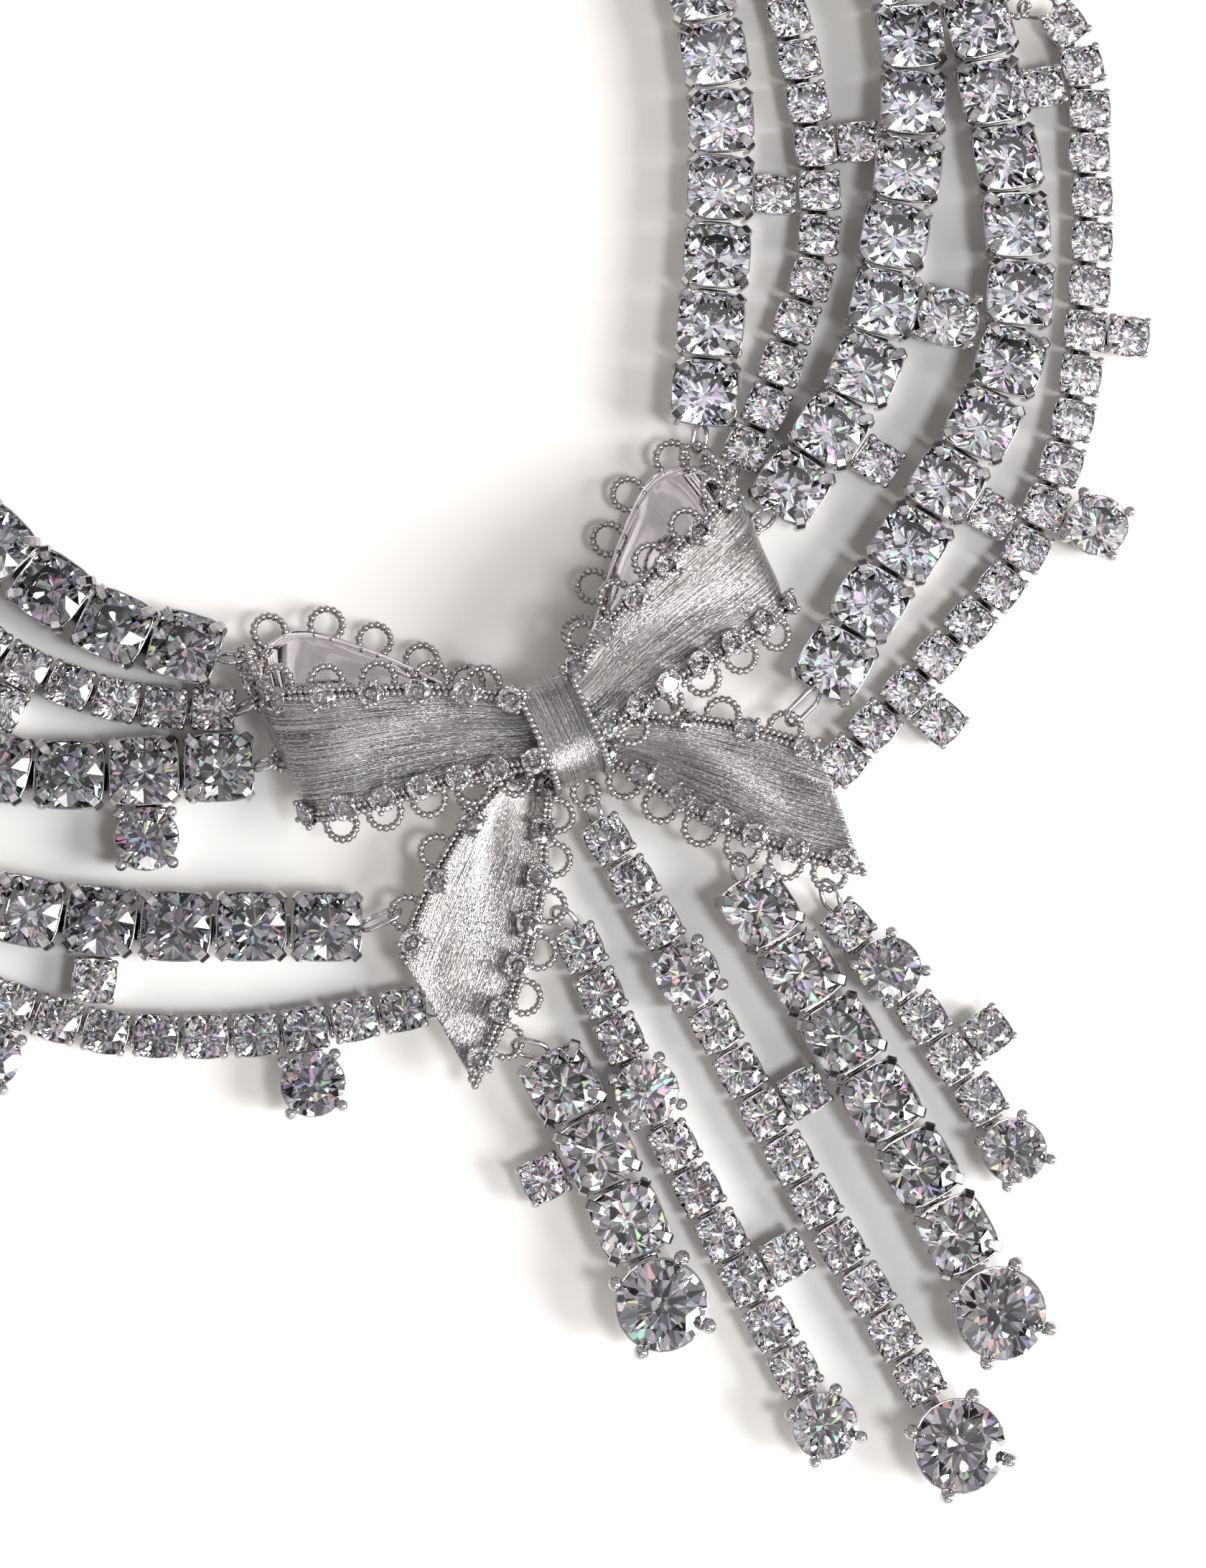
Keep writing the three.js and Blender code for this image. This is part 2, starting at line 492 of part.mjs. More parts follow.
// The plain clasp at the nape with an eye at each end.
function clasp() {
  const { length, width, height, round, y } = CLASP;
  const shape = new THREE.Shape();
  const [x, w] = [length / 2 - round, width / 2 - round];
  shape.moveTo(-x, -w - round);
  shape.absarc(x, -w, round, -Math.PI / 2, 0);
  shape.absarc(x, w, round, 0, Math.PI / 2);
  shape.absarc(-x, w, round, Math.PI / 2, Math.PI);
  shape.absarc(-x, -w, round, Math.PI, Math.PI * 1.5);
  const settings = { depth: height, curveSegments: ROUND_STEPS, bevelEnabled: false };
  const geometry = new THREE.ExtrudeGeometry(shape, settings);
  geometry.translate(0, y, 0);
  const eyes = [-1, 1].map((side) => {
    const root = new THREE.Vector3((side * length) / 2, y, height * 0.6);
    const sideways = new THREE.Vector3(0, side, 0);
    return wireLoop(root, new THREE.Vector3(side, 0, 0), sideways, EYE_RADIUS, 2 * EYE_RADIUS - BITE);
  });
  return { solid: joined([solidOf(geometry), ...eyes.map((e) => e.solid)]), eyes };
}

// A ring whose far end lies in the hole of an eye, and whose near end is soldered to a cup's wall.
function ringFrom(hole, wall, upright) {
  const run = wall.clone().sub(hole);
  const half = (run.length() + BITE) / 2;
  const direction = run.normalize();
  const centre = hole.clone().addScaledVector(direction, half);
  const level = new THREE.Vector3(0, 0, 1).cross(direction).normalize();
  const across = upright ? direction.clone().cross(level) : level;
  const normal = direction.clone().cross(across);
  const ring = new THREE.TorusGeometry(RING_RISE, RING_WIRE / 2, 5, 10);
  const positions = ring.attributes.position;
  for (let i = 0; i < positions.count; i++) {
    const x = positions.getX(i);
    positions.setX(i, x + Math.sign(x) * (half - RING_RISE));
  }
  const turn = new THREE.Matrix4().makeBasis(direction, across, normal);
  return solidOf(ring.applyMatrix4(turn.setPosition(centre)));
}
const nearestEye = (eyes, wall) =>
  eyes.reduce((best, eye) => (eye.tip.distanceTo(wall) < best.tip.distanceTo(wall) ? eye : best));

// The middle of a cup's start wall (-1) or end wall (+1), and of one of its sides.
function wallOf(link, end) {
  const { cup, girdle } = SETTINGS[link.kind];
  return flat(along(link.centre, link.direction, (end * cup) / 2), girdle - RING_WIRE / 2);
}
function sideOf(link, side, shift) {
  const { cup, girdle } = SETTINGS[link.kind];
  const middle = along(link.centre, leftOf(link.direction), (side * cup) / 2);
  return flat(along(middle, link.direction, shift * cup), girdle - RING_WIRE / 2);
}

// Stones set along a route, each with its kind, centre and direction. The route may end at an eye.
function linksAlong(points, row, eye) {
  const route = points.map(([x, y]) => new THREE.Vector3(x, y, 0));
  if (eye) route.push(flat(eye.tip, 0));
  const curve = new THREE.CatmullRomCurve3(route, false, "centripetal");
  curve.arcLengthDivisions = 600;
  const room = curve.getLength() - (eye ? LOOP_WIRE / 2 + CLEARANCE : 0);
  const words = row.stones ? row.stones.split(" ") : null;
  const links = [];
  let at = 0;
  for (let i = 0; words ? i < words.length : true; i++) {
    const kind = words ? words[i] : row.fill;
    const half = SETTINGS[kind].cup / 2;
    if (i > 0) at += half;
    if (at + half > room) break;
    const centre = curve.getPointAt(at / curve.getLength());
    const tangent = curve.getTangentAt(at / curve.getLength());
    const direction = new THREE.Vector2(tangent.x, tangent.y);
    links.push({ kind, centre: new THREE.Vector2(centre.x, centre.y), direction });
    at += half + LINK_GAP;
  }
  return links;
}

// The solid of a row with its side stones, and the rings at its ends.
function rowSolid(name, startRing) {
  const { links, eye, sides = [], guests = [] } = laid[name];
  const solids = [solidOf(rowGeometry(links)), startRing, ...guests.map((guest) => guest.solid)];
  for (const { at, side, kind } of sides) {
    const host = links[at];
    const out = leftOf(host.direction).multiplyScalar(side);
    const hostHalf = SETTINGS[host.kind].cup / 2;
    const centre = along(host.centre, out, hostHalf + SIDE_GAP + SETTINGS[kind].cup / 2);
    const rootInside = SIDE_GAP - LINK_GAP / 2 + hostHalf * (1 - HINGE_SHARE / 2);
    solids.push(solidOf(rowGeometry([{ kind, centre, direction: out }], rootInside)));
  }
  if (eye) solids.push(ringFrom(eye.hole, wallOf(links[links.length - 1], 1), true));
  return joined(solids);
}

// The rows are laid out first, from the inner one outwards, each to the eye where it ends.
const nape = clasp();
const laid = {};
for (const [name, row] of Object.entries(ROWS)) {
  let eye = null;
  if (name.startsWith("row_1")) eye = nape.eyes[name.endsWith("left") ? 0 : 1];
  if (row.joins) {
    const host = laid[row.joins.row];
    const outer = name.endsWith("left") ? 1 : -1;
    const link = host.links[row.joins.at];
    const root = sideOf(link, outer, row.joins.shift);
    const outward = flat(leftOf(link.direction).multiplyScalar(outer), 0);
    eye = wireLoop(root, outward, flat(link.direction, 0), EYE_RADIUS, 2 * EYE_RADIUS - BITE);
    host.guests.push(eye);
  }
  laid[name] = { ...row, eye, guests: [], links: linksAlong(ROUTES[name], row, eye) };
}
const startOf = (name) => wallOf(laid[name].links[0], -1);

const knot = bowKnot(startOf("fringe_3"));
const solids = { bow_knot: knot.solid, clasp: nape.solid };
const hooks = {};
for (const [side, mirror] of [["left", -1], ["right", 1]]) {
  const loop = bowLoop(mirror, [1, 2, 3].map((row) => startOf(`row_${row}_${side}`)));
  const tail = bowTail(side, mirror, laid[`row_5_${side}`].links[0]);
  solids[`bow_loop_${side}`] = loop.solid;
  solids[`bow_tail_${side}`] = tail.solid;
  loop.eyes.forEach((eye, i) => (hooks[`row_${i + 1}_${side}`] = eye));
  hooks[`row_4_${side}`] = nearestEye(tail.picots, startOf(`row_4_${side}`));
  hooks[`row_5_${side}`] = tail.eye;
  const fringes = side === "left" ? ["fringe_1", "fringe_2"] : ["fringe_4", "fringe_5"];
  for (const name of fringes) hooks[name] = nearestEye(tail.picots, startOf(name));
}
hooks.fringe_3 = knot.eye;
for (const name of Object.keys(ROWS)) {
  const { hole } = hooks[name];
  const upright = !name.startsWith("row_5");
  const wall = upright ? startOf(name) : flat(startOf(name), hole.z);
  solids[name] = rowSolid(name, ringFrom(hole, wall, upright));
}

const necklace = new THREE.Group();
for (const [name, solid] of Object.entries(solids)) {
  const mesh = new THREE.Mesh(geometryOf(solid), /^(row|fringe)/.test(name) ? STONES : SILVER);
  mesh.name = name;
  necklace.add(mesh);
}
// The origin is on the table top, under the middle of the necklace.
const bounds = new THREE.Box3().setFromObject(necklace);
const middle = bounds.getCenter(new THREE.Vector3());
necklace.position.set(-middle.x, -middle.y, -bounds.min.z);

export default necklace;
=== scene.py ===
# The looks of a bib necklace: set stones in rows, a satin ribbon bow with beaded lace, and a fringe.
# Sizes are in millimetres, in the necklace's own frame, whose origin is on the table under the knot.
import math
import random
from collections import namedtuple
from math import cos, pi, sin

import bpy
import numpy as np
from mathutils import Matrix, Vector
from numpy.linalg import norm


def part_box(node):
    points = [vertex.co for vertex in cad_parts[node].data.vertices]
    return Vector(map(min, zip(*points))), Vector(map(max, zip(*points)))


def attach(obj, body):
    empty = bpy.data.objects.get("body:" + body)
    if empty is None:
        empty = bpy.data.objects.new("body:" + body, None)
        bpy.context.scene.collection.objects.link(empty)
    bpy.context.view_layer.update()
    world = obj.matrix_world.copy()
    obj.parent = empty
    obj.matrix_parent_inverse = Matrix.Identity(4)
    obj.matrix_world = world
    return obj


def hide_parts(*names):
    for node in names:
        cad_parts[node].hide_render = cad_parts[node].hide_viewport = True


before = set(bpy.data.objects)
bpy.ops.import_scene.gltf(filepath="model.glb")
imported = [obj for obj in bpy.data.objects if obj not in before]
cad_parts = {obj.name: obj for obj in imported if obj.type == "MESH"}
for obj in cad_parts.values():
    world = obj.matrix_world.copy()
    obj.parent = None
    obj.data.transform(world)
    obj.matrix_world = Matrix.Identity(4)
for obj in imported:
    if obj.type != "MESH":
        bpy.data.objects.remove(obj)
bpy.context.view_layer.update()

MM = 0.001

# How the solids are laid out, which the pieces below follow.
CupSolid = namedtuple("CupSolid", "width girdle table")
CUP_SOLIDS = {
    "small": CupSolid(5.2, 2.8, 3.9),
    "large": CupSolid(8.1, 4.2, 5.8),
    "medium": CupSolid(7.5, 4.0, 5.4),
    "drop": CupSolid(10.6, 5.2, 7.2),
}
KNOT = {"width": 6.2, "north": 6.0, "south": 6.6, "bottom": 0.25, "top": 11.2, "round": 4.2, "eye": 2.6}
CLASP = {"length": 15.0, "width": 7.0, "height": 4.0, "y": 147.0, "eye": 2.4}
NAPE = np.array([0.0, CLASP["y"]])
RIBBON = 0.9  # thickness
SWELL = 0.5  # how far the satin stands over the flat edges where the lace is
GATHER = 0.32  # depth of the ribbon's gathers by the knot
WAVE = 0.22  # depth of its soft waves
ACROSS = 18  # steps of the engraved lines from hem to rim
PICOT_RADIUS = 1.85
PICOT_REACH = 3.1
EYE_RADIUS = 1.4
EYE_REACH = 2.5
EYE_TO_WALL = 2.0
EYE_LEAST = 1.7
LOW_EYE = 1.1
LOW_EYE_TO_WALL = 2.3
LOW_EYE_RADIUS = 1.0
HOLE_DEPTH = 1.0  # from an eye's tip to the middle of the ring's wire inside it
RING_RISE = 1.5
RING_WIRE = 0.7
RING_LEAN = 0.6  # how far an upright ring leans over, as a slope
BITE = 0.3  # how deep a soldered wire sits in its wall
WIRE_SPAN = 1.92  # a wire loop's reach over its radius, where it closes
WIRE = 0.3  # radius of the rings' wire
HINGE_GAP = 1.3  # the widest gap between two cups that a hinge joins
HINGE = {"reach": 1.1, "level": 0.9, "thick": 0.8, "pin_level": 1.25, "pin": 0.26}
LEVEL = 0.9995  # the least upright share of a level face's normal
SLACK = 0.03  # how far a solid's height may be off
STUD = 0.2  # a level top that reaches less than this share of its cup's width isn't a stone's
SEAT_LEAN = math.radians(2.5)  # how far a stone may lean in its seat
SEAT_SPIN = math.radians(3)
TINT_SPREAD = 0.15
HOSTS = {"row_2": "row_1", "row_3": "row_1", "row_4": "row_3", "row_5": "row_4"}

# The ribbon's sections, as shares of each size: a loop from the knot round its fold and back, and
# a tail from the knot to its cut end.
Section = namedtuple("Section", "rim_x rim_y rim_z hem_x hem_y hem_z")
# The last key of each size darkens its satin towards dark grey as painted shade; only the left tail has
# it set.
LOOP = {"reach": 29.4, "rise": 23.4, "height": 11.0, "crown": 0.5, "wear_and_painted_shade": 0.0}
LOOP_SECTIONS = [Section(*row) for row in (
    (0.022, 0.2, 0.87, 0.022, -0.15, 0.84),
    (0.12, 0.2, 0.88, 0.12, -0.15, 0.83),
    (0.34, 0.345, 0.97, 0.32, -0.08, 0.8),
    (0.58, 0.48, 1.0, 0.56, -0.03, 0.78),
    (0.82, 0.6, 0.96, 0.82, 0.02, 0.7),
    (0.95, 0.7, 0.8, 0.965, 0.07, 0.54),
    (0.98, 0.82, 0.54, 1.0, 0.13, 0.34),
    (0.93, 0.96, 0.3, 0.96, 0.17, 0.16),
    (0.78, 1.0, 0.2, 0.78, 0.17, 0.1),
    (0.54, 0.77, 0.16, 0.5, 0.11, 0.1),
    (0.31, 0.44, 0.16, 0.27, 0.03, 0.13),
    (0.12, 0.185, 0.157, 0.12, -0.06, 0.155),
    (0.022, 0.18, 0.155, 0.022, -0.08, 0.155),
)]
# The left tail's last key darkens its satin as painted shade.
TAILS = {
    "left": {"reach": 26.9, "rise": 32.8, "height": 4.2, "crown": 1.0, "wear_and_painted_shade": 0.42},
    "right": {"reach": 26.3, "rise": 29.0, "height": 4.65, "crown": 1.0, "wear_and_painted_shade": 0.0},
}
TAIL_SECTIONS = [Section(*row) for row in (
    (0.022, -0.02, 0.69, 0.022, -0.16, 0.69),
    (0.125, -0.03, 0.7, 0.12, -0.168, 0.7),
    (0.32, -0.09, 0.82, 0.235, -0.3, 0.82),
    (0.54, -0.18, 0.92, 0.33, -0.45, 0.92),
    (0.74, -0.3, 0.98, 0.48, -0.63, 1.0),
    (0.89, -0.41, 1.0, 0.68, -0.81, 1.0),
    (1.0, -0.515, 1.0, 0.945, -1.0, 1.0),
)]
# Picots stand at even places along an edge, from the first to the last share of its length.
Places = namedtuple("Places", "first last count")
LOOP_RIM_PICOTS = Places(0.09, 0.87, 11)
LOOP_HEM_PICOTS = Places(0.1, 0.43, 5)
TAIL_RIM_PICOTS = Places(0.36, 0.84, 3)
TAIL_HEM_PICOTS = {"left": Places(0.16, 0.85, 6), "right": Places(0.18, 0.9, 6)}
FOLD = (0.5, 0.72)
CUT_END = (0.7, 1.0)

# The make of each kind of set stone. Half widths of the cup and the stone, heights of the
# stone's girdle, table and culet, how square the outline is (2 is a circle), the radius of a
# prong's ball and how far it stands from the stone's middle.
Setting = namedtuple("Setting", "cup stone girdle table culet square ball stand")
SETTINGS = {
    "small": Setting(2.55, 2.4, 2.85, 3.62, 0.65, 3.0, 0.52, 2.98),
    "large": Setting(4.02, 3.88, 4.35, 5.55, 0.9, 3.8, 0.0, 0.0),
    "medium": Setting(3.72, 3.64, 4.1, 5.2, 0.85, 2.0, 0.72, 4.2),
    "drop": Setting(5.2, 5.05, 5.4, 6.95, 0.92, 2.0, 0.9, 5.7),
    "pave": Setting(1.5, 1.44, 1.3, 1.75, 0.1, 2.0, 0.37, 1.66),
}
# The cut of a stone, as shares of its half width, and the height of its girdle.
TABLE_SHARE = 0.57
STAR_SHARE = 0.79
LOWER_SHARE = 0.24
GIRDLE = 0.14

BEAD = 0.48  # radius of the lace's beads
BEAD_PITCH = 0.74
BEAD_WIRE = 0.55  # radius of the wire through the beads, as a share of a bead's
BORDER_LINES = ((0.4, -0.05), (-0.4, 0.1))  # how far out and up each line of border beads stands
PAVE_INSET = 0.5
PAVE_TINT = 0.5

PHOTO_TURN = math.radians(24.5)  # the picture's up, from the necklace's +Y
PHOTO_AIM = (2.47, -7.16)
CAMERA_DISTANCE = 333.3
CAMERA_TILT = math.radians(10)
CAMERA_SIDE_TILT = math.radians(2)
LENS = 65.93
# The lights stand right, up and high in millimetres as the photo shows them. Sizes are in metres.
SUN_AT = (517, -125, 262)
SUN_POWER = 4.0
SUN_SPREAD = math.radians(28)
PANELS = {
    "hem_panel": ((60, -420, 230), (0.34, 0.06), 0.3),
    "satin_panel": ((190, -150, 420), (0.11, 0.11), 0.9),
}

# Where the necklace's own origin lies in the frame: its knot is symmetric and ends at its north.
knot_low, knot_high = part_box("bow_knot")
ORIGIN = np.array([(knot_low.x + knot_high.x) / 2, knot_high.y - KNOT["north"] * MM, 0.0])

chance = random.Random(11)


def new_object(name, data):
    made = bpy.data.objects.new(name, data)
    bpy.context.scene.collection.objects.link(made)
    return made


# Shapes: plain arrays of points and faces that a Pile collects into one mesh.
Shape = namedtuple("Shape", "points faces smooth")


class Pile:
    """Many shapes that become one mesh, each with its own finish and its own tint and shade: a stone's
    colour, darkened towards smoky grey as painted shade, or how far a satin is darkened as painted
    shade. A satin also has the place where each point lies."""

    def __init__(self):
        self.points, self.lies, self.faces = [], [], []
        self.finishes, self.smooth, self.tints_and_shade = [], [], []
        self.count = 0

    def add(self, shape, place=None, finish=0, tint=0.0, lie=None):
        points = shape.points
        if place is not None:
            points = points @ place[:3, :3].T + place[:3, 3]
        self.points.append(points)
        base = self.count
        self.faces.extend(tuple(i + base for i in face) for face in shape.faces)
        many = len(shape.faces)
        self.finishes.extend(finish if isinstance(finish, list) else [finish] * many)
        self.smooth.extend([shape.smooth] * many)
        self.tints_and_shade.extend([tint] * many)
        self.lies.append(np.zeros((len(points), 2)) if lie is None else lie)
        self.count += len(points)

    def piece(self, name, finishes, slot, replaces=()):
        """The pile as an object of the necklace, in metres in the frame."""
        mesh = bpy.data.meshes.new(name)
        points = np.vstack(self.points) * MM + ORIGIN
        mesh.from_pydata(points.tolist(), [], self.faces)
        for finish in finishes:
            mesh.materials.append(finish)
        mesh.polygons.foreach_set("material_index", self.finishes)
        mesh.polygons.foreach_set("use_smooth", self.smooth)
        tints_and_shade = mesh.attributes.new("tint", "FLOAT", "FACE")
        tints_and_shade.data.foreach_set("value", self.tints_and_shade)
        corners = np.zeros(len(mesh.loops), np.int32)
        mesh.loops.foreach_get("vertex_index", corners)
        lie = mesh.uv_layers.new(name="lie")
        lie.data.foreach_set("uv", np.vstack(self.lies)[corners].astype(np.float32).ravel())
        mesh.update()
        made = new_object(name, mesh)
        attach(made, "root")
        if replaces:
            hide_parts(*replaces)


def turned(angle, x=0.0, y=0.0, z=0.0):
    """A place turned about the upright axis."""
    place = np.eye(4)
    place[:2, :2] = [[cos(angle), -sin(angle)], [sin(angle), cos(angle)]]
    place[:3, 3] = (x, y, z)
    return place


def facing(at, ahead, up):
    """A place whose X runs ahead and whose Z is as near up as that allows."""
    x = unit(ahead)
    z = unit(np.array(up, float) - x * np.dot(up, x))
    place = np.eye(4)
    place[:3, 0] = x
    place[:3, 1] = np.cross(z, x)
    place[:3, 2] = z
    place[:3, 3] = at
    return place


def unit(v):
    v = np.array(v, float)
    return v / max(norm(v), 1e-9)


def ball(radius, rings=5, sides=9):
    """A round bead or prong tip."""
    points = [(0, 0, radius)]
    for i in range(1, rings):
        polar = pi * i / rings
        wide, high = radius * sin(polar), radius * cos(polar)
        for k in range(sides):
            turn = 2 * pi * k / sides
            points.append((wide * cos(turn), wide * sin(turn), high))
    points.append((0, 0, -radius))
    last = len(points) - 1
    faces = []
    for k in range(sides):
        n = (k + 1) % sides
        faces.append((0, 1 + k, 1 + n))
        faces.append((last, last - sides + n, last - sides + k))
        for i in range(rings - 2):
            a = 1 + i * sides
            faces.append((a + k, a + sides + k, a + sides + n, a + n))
    return Shape(np.array(points), faces, True)


def skin(rings, around, closed=False, flipped=False):
    """The faces between rings of points that follow one another."""
    faces = []
    for i in range(rings if closed else rings - 1):
        a, b = i * around, ((i + 1) % rings) * around
        for k in range(around):
            n = (k + 1) % around
            face = (a + k, a + n, b + n, b + k)
            faces.append((face[0], *face[:0:-1]) if flipped else face)
    return faces


def closed_wall(rings, around):
    """The faces of a wall of rings that is closed at its foot and at its last ring."""
    foot = tuple(range(around))[::-1]
    last = tuple(range((rings - 1) * around, rings * around))
    return [foot, *skin(rings, around), last]


def tube(path, radius, sides=8, closed=False):
    """A round wire along a path, capped at its ends unless the path is closed."""
    path = np.array(path, float)
    count = len(path)
    if closed:
        ahead = np.roll(path, -1, 0) - np.roll(path, 1, 0)
    else:
        ahead = np.gradient(path, axis=0)
    ahead = np.array([unit(a) for a in ahead])
    normal = unit(np.cross(ahead[0], [0.31, 0.17, 0.93]))
    points = []
    for i in range(count):
        normal = unit(normal - ahead[i] * np.dot(normal, ahead[i]))
        side = np.cross(ahead[i], normal)
        for k in range(sides):
            turn = 2 * pi * k / sides
            points.append(path[i] + radius * (cos(turn) * normal + sin(turn) * side))
    faces = skin(count, sides, closed)
    if not closed:
        faces.append(tuple(range(sides))[::-1])
        faces.append(tuple(range((count - 1) * sides, count * sides)))
    return Shape(np.array(points), faces, True)


def cushion(half, square, turn):
    """The distance from the middle to a rounded square's outline; square 2 is a circle."""
    reach = abs(cos(turn)) ** square + abs(sin(turn)) ** square
    return half / reach ** (1 / square)


def brilliant(make):
    """A brilliant-cut stone: table, stars, kites, upper halves, girdle and pavilion."""
    def ring(count, offset, share, height, square):
        turns = [2 * pi * (k + offset) / count for k in range(count)]
        reach = [share * cushion(make.stone, square, t) for t in turns]
        return [(r * cos(t), r * sin(t), height) for r, t in zip(reach, turns)]

    bend = cos(pi / 8)
    crown = make.table - make.girdle
    star = make.table - crown * (STAR_SHARE * bend - TABLE_SHARE) / (1 - TABLE_SHARE)
    depth = make.girdle - GIRDLE - make.culet
    lower = make.culet + depth * LOWER_SHARE * bend
    soft = (make.square + 2) / 2
    points = ring(8, 0, TABLE_SHARE, make.table, 2 if make.square == 2 else soft)
    points += ring(8, 0.5, STAR_SHARE, star, make.square)
    points += ring(16, 0, 1.0, make.girdle, make.square)
    points += ring(16, 0, 1.0, make.girdle - GIRDLE, make.square)
    points += ring(8, 0.5, LOWER_SHARE, lower, 2)
    points.append((0, 0, make.culet))
    table, stars, top, low, lowers, culet = 0, 8, 16, 32, 48, 56
    faces = [tuple(range(8))]
    for k in range(8):
        n, p = (k + 1) % 8, (k + 7) % 8
        a, b, c = 2 * k, 2 * k + 1, (2 * k + 2) % 16
        faces += [
            (table + k, stars + k, table + n), (table + k, stars + p, top + a),
            (table + k, top + a, stars + k), (stars + k, top + a, top + b),
            (stars + k, top + b, top + c), (top + a, low + a, low + b, top + b),
            (top + b, low + b, low + c, top + c), (low + a, lowers + p, culet),
            (low + a, culet, lowers + k), (lowers + k, low + b, low + a),
            (lowers + k, low + c, low + b),
        ]
    return Shape(np.array(points), faces, False)


def bowl(make, sides):
    """The open cup that a stone sits in, from its foot up to the rim and down inside."""
    seat = make.girdle
    profile = [
        (0.60, 0.0), (0.66, 0.25 * seat), (0.80, 0.5 * seat), (0.955, 0.82 * seat),
        (0.995, 0.95 * seat), (1.0, seat + 0.02), (0.975, seat + 0.1), (0.95, seat + 0.02),
        (0.93, 0.93 * seat), (0.74, 0.62 * seat), (0.40, 0.22 * seat),
    ]
    points = []
    for share, height in profile:
        for k in range(sides):
            turn = 2 * pi * (k + 0.5) / sides
            reach = share * cushion(make.cup, make.square + 0.6 if make.square > 2 else 2, turn)
            points.append((reach * cos(turn), reach * sin(turn), height))
    return Shape(np.array(points), closed_wall(len(profile), sides), True)


def bar(path, widths, thick):
    """A flat bar bent along a path in the X and Z of its place, with bevelled edges."""
    path = np.array(path, float)
    ahead = np.gradient(path, axis=0)
    bevel = thick * 0.3
    points = []
    for (x, z), (ax, az), width in zip(path, ahead, widths):
        length = math.hypot(ax, az)
        nx, nz = -az / length, ax / length
        half = width / 2
        outline = [
            (half - bevel, thick / 2), (half, thick / 2 - bevel), (half, bevel - thick / 2),
            (half - bevel, -thick / 2), (bevel - half, -thick / 2), (-half, bevel - thick / 2),
            (-half, thick / 2 - bevel), (bevel - half, thick / 2),
        ]
        points += [(x + nx * up, side, z + nz * up) for side, up in outline]
    faces = [tuple(range(8)), tuple(range(len(points) - 8, len(points)))[::-1]]
    return Shape(np.array(points), faces + skin(len(path), 8, flipped=True), False)


def corner_tab(make):
    """One of the short bars that a square cup folds over its stone's corners."""
    corner = cushion(make.cup, make.square + 0.6, pi / 4)
    seat = make.girdle
    path = [
        (corner - 0.35, 0.5 * seat), (corner + 0.08, 0.8 * seat), (corner + 0.12, seat + 0.15),
        (corner - 0.15, seat + 0.62), (corner - 0.75, seat + 0.9), (corner - 1.35, seat + 0.95),
        (corner - 1.7, seat + 0.88),
    ]
    return bar(path, [1.2, 1.25, 1.25, 1.25, 1.2, 1.1, 0.7], 0.5)


def ball_prong(make):
    """A prong that leans out from the cup's foot and ends in a ball by the stone's girdle."""
    top = make.girdle + make.ball * 0.55
    path = [
        (make.cup * 0.8, 0, 0.25 * make.girdle), (make.stand * 0.94, 0, 0.75 * make.girdle),
        (make.stand, 0, top),
    ]
    stalk = tube(path, make.ball * 0.62, 6)
    tip = ball(make.ball, 6, 10)
    points = np.vstack([stalk.points, tip.points + (make.stand - 0.08, 0, top)])
    many = len(stalk.points)
    faces = stalk.faces + [tuple(i + many for i in face) for face in tip.faces]
    return Shape(points, faces, True)


STONE_SHAPES = {kind: brilliant(make) for kind, make in SETTINGS.items()}
BOWL_SHAPES = {
    kind: bowl(make, 16 if kind in ("small", "pave") else 24) for kind, make in SETTINGS.items()
}
PRONG_SHAPES = {
    kind: corner_tab(make) if kind == "large" else ball_prong(make) for kind, make in SETTINGS.items()
}
BEAD_SHAPE = ball(BEAD, 5, 8)


def set_stone(metal, stones, kind, place, tint):
    """A stone in its cup with four prongs, each stone tilted a little in its seat."""
    metal.add(BOWL_SHAPES[kind], place)
    for k in range(4):
        metal.add(PRONG_SHAPES[kind], place @ turned(pi / 4 + k * pi / 2))
    lean = Matrix.Rotation(chance.uniform(-SEAT_LEAN, SEAT_LEAN), 4, "X")
    lean = lean @ Matrix.Rotation(chance.uniform(-SEAT_LEAN, SEAT_LEAN), 4, "Y")
    seat = SETTINGS[kind].girdle
    lift, drop = turned(0, z=seat), turned(0, z=-seat)
    spin = turned(chance.uniform(-SEAT_SPIN, SEAT_SPIN))
    stones.add(STONE_SHAPES[kind], place @ lift @ np.array(lean) @ spin @ drop, tint=tint)


# Reading the rows back from their solids.
Stone = namedtuple("Stone", "kind middle angle")


def quarter_near(angle, wanted):
    """The angle, turned by whole quarters to be as near the wanted one as it can."""
    quarter = pi / 2
    return angle + round((wanted - angle) / quarter) * quarter


def read_stones(node):
    """The stones of a row, from the level tops of its solid: kind, middle and the cup's angle."""
    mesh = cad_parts[node].data
    groups = []
    for face in mesh.polygons:
        if face.normal.z < LEVEL:
            continue
        corners = {
            tuple(round((c - o) / MM, 2) for c, o in zip(mesh.vertices[i].co, ORIGIN))
            for i in face.vertices
        }
        height = max(corner[2] for corner in corners)
        kinds = [kind for kind, solid in CUP_SOLIDS.items() if abs(solid.table - height) < SLACK]
        if not kinds:
            continue
        touching = [group for group in groups if group[1] & corners]
        for group in touching:
            corners |= group[1]
            groups.remove(group)
        groups.append((kinds[0], corners))
    tops = []
    for kind, corners in groups:
        points = np.array(sorted(corners))[:, :2]
        middle = points.mean(0)
        reach = norm(points - middle, axis=1).max()
        if reach > CUP_SOLIDS[kind].width * STUD:
            tops.append((kind, middle, points))
    stones = []
    for kind, middle, points in tops:
        others = [m for _, m, _ in tops if m is not middle]
        nearest = min(others, key=lambda m: norm(m - middle))
        towards = math.atan2(*(nearest - middle)[::-1])
        if len(points) == 4:
            turns = sorted(math.atan2(y, x) for x, y in points - middle)
            towards = quarter_near(turns[0] + pi / 4, towards)
        stones.append(Stone(kind, middle, towards))
    return stones


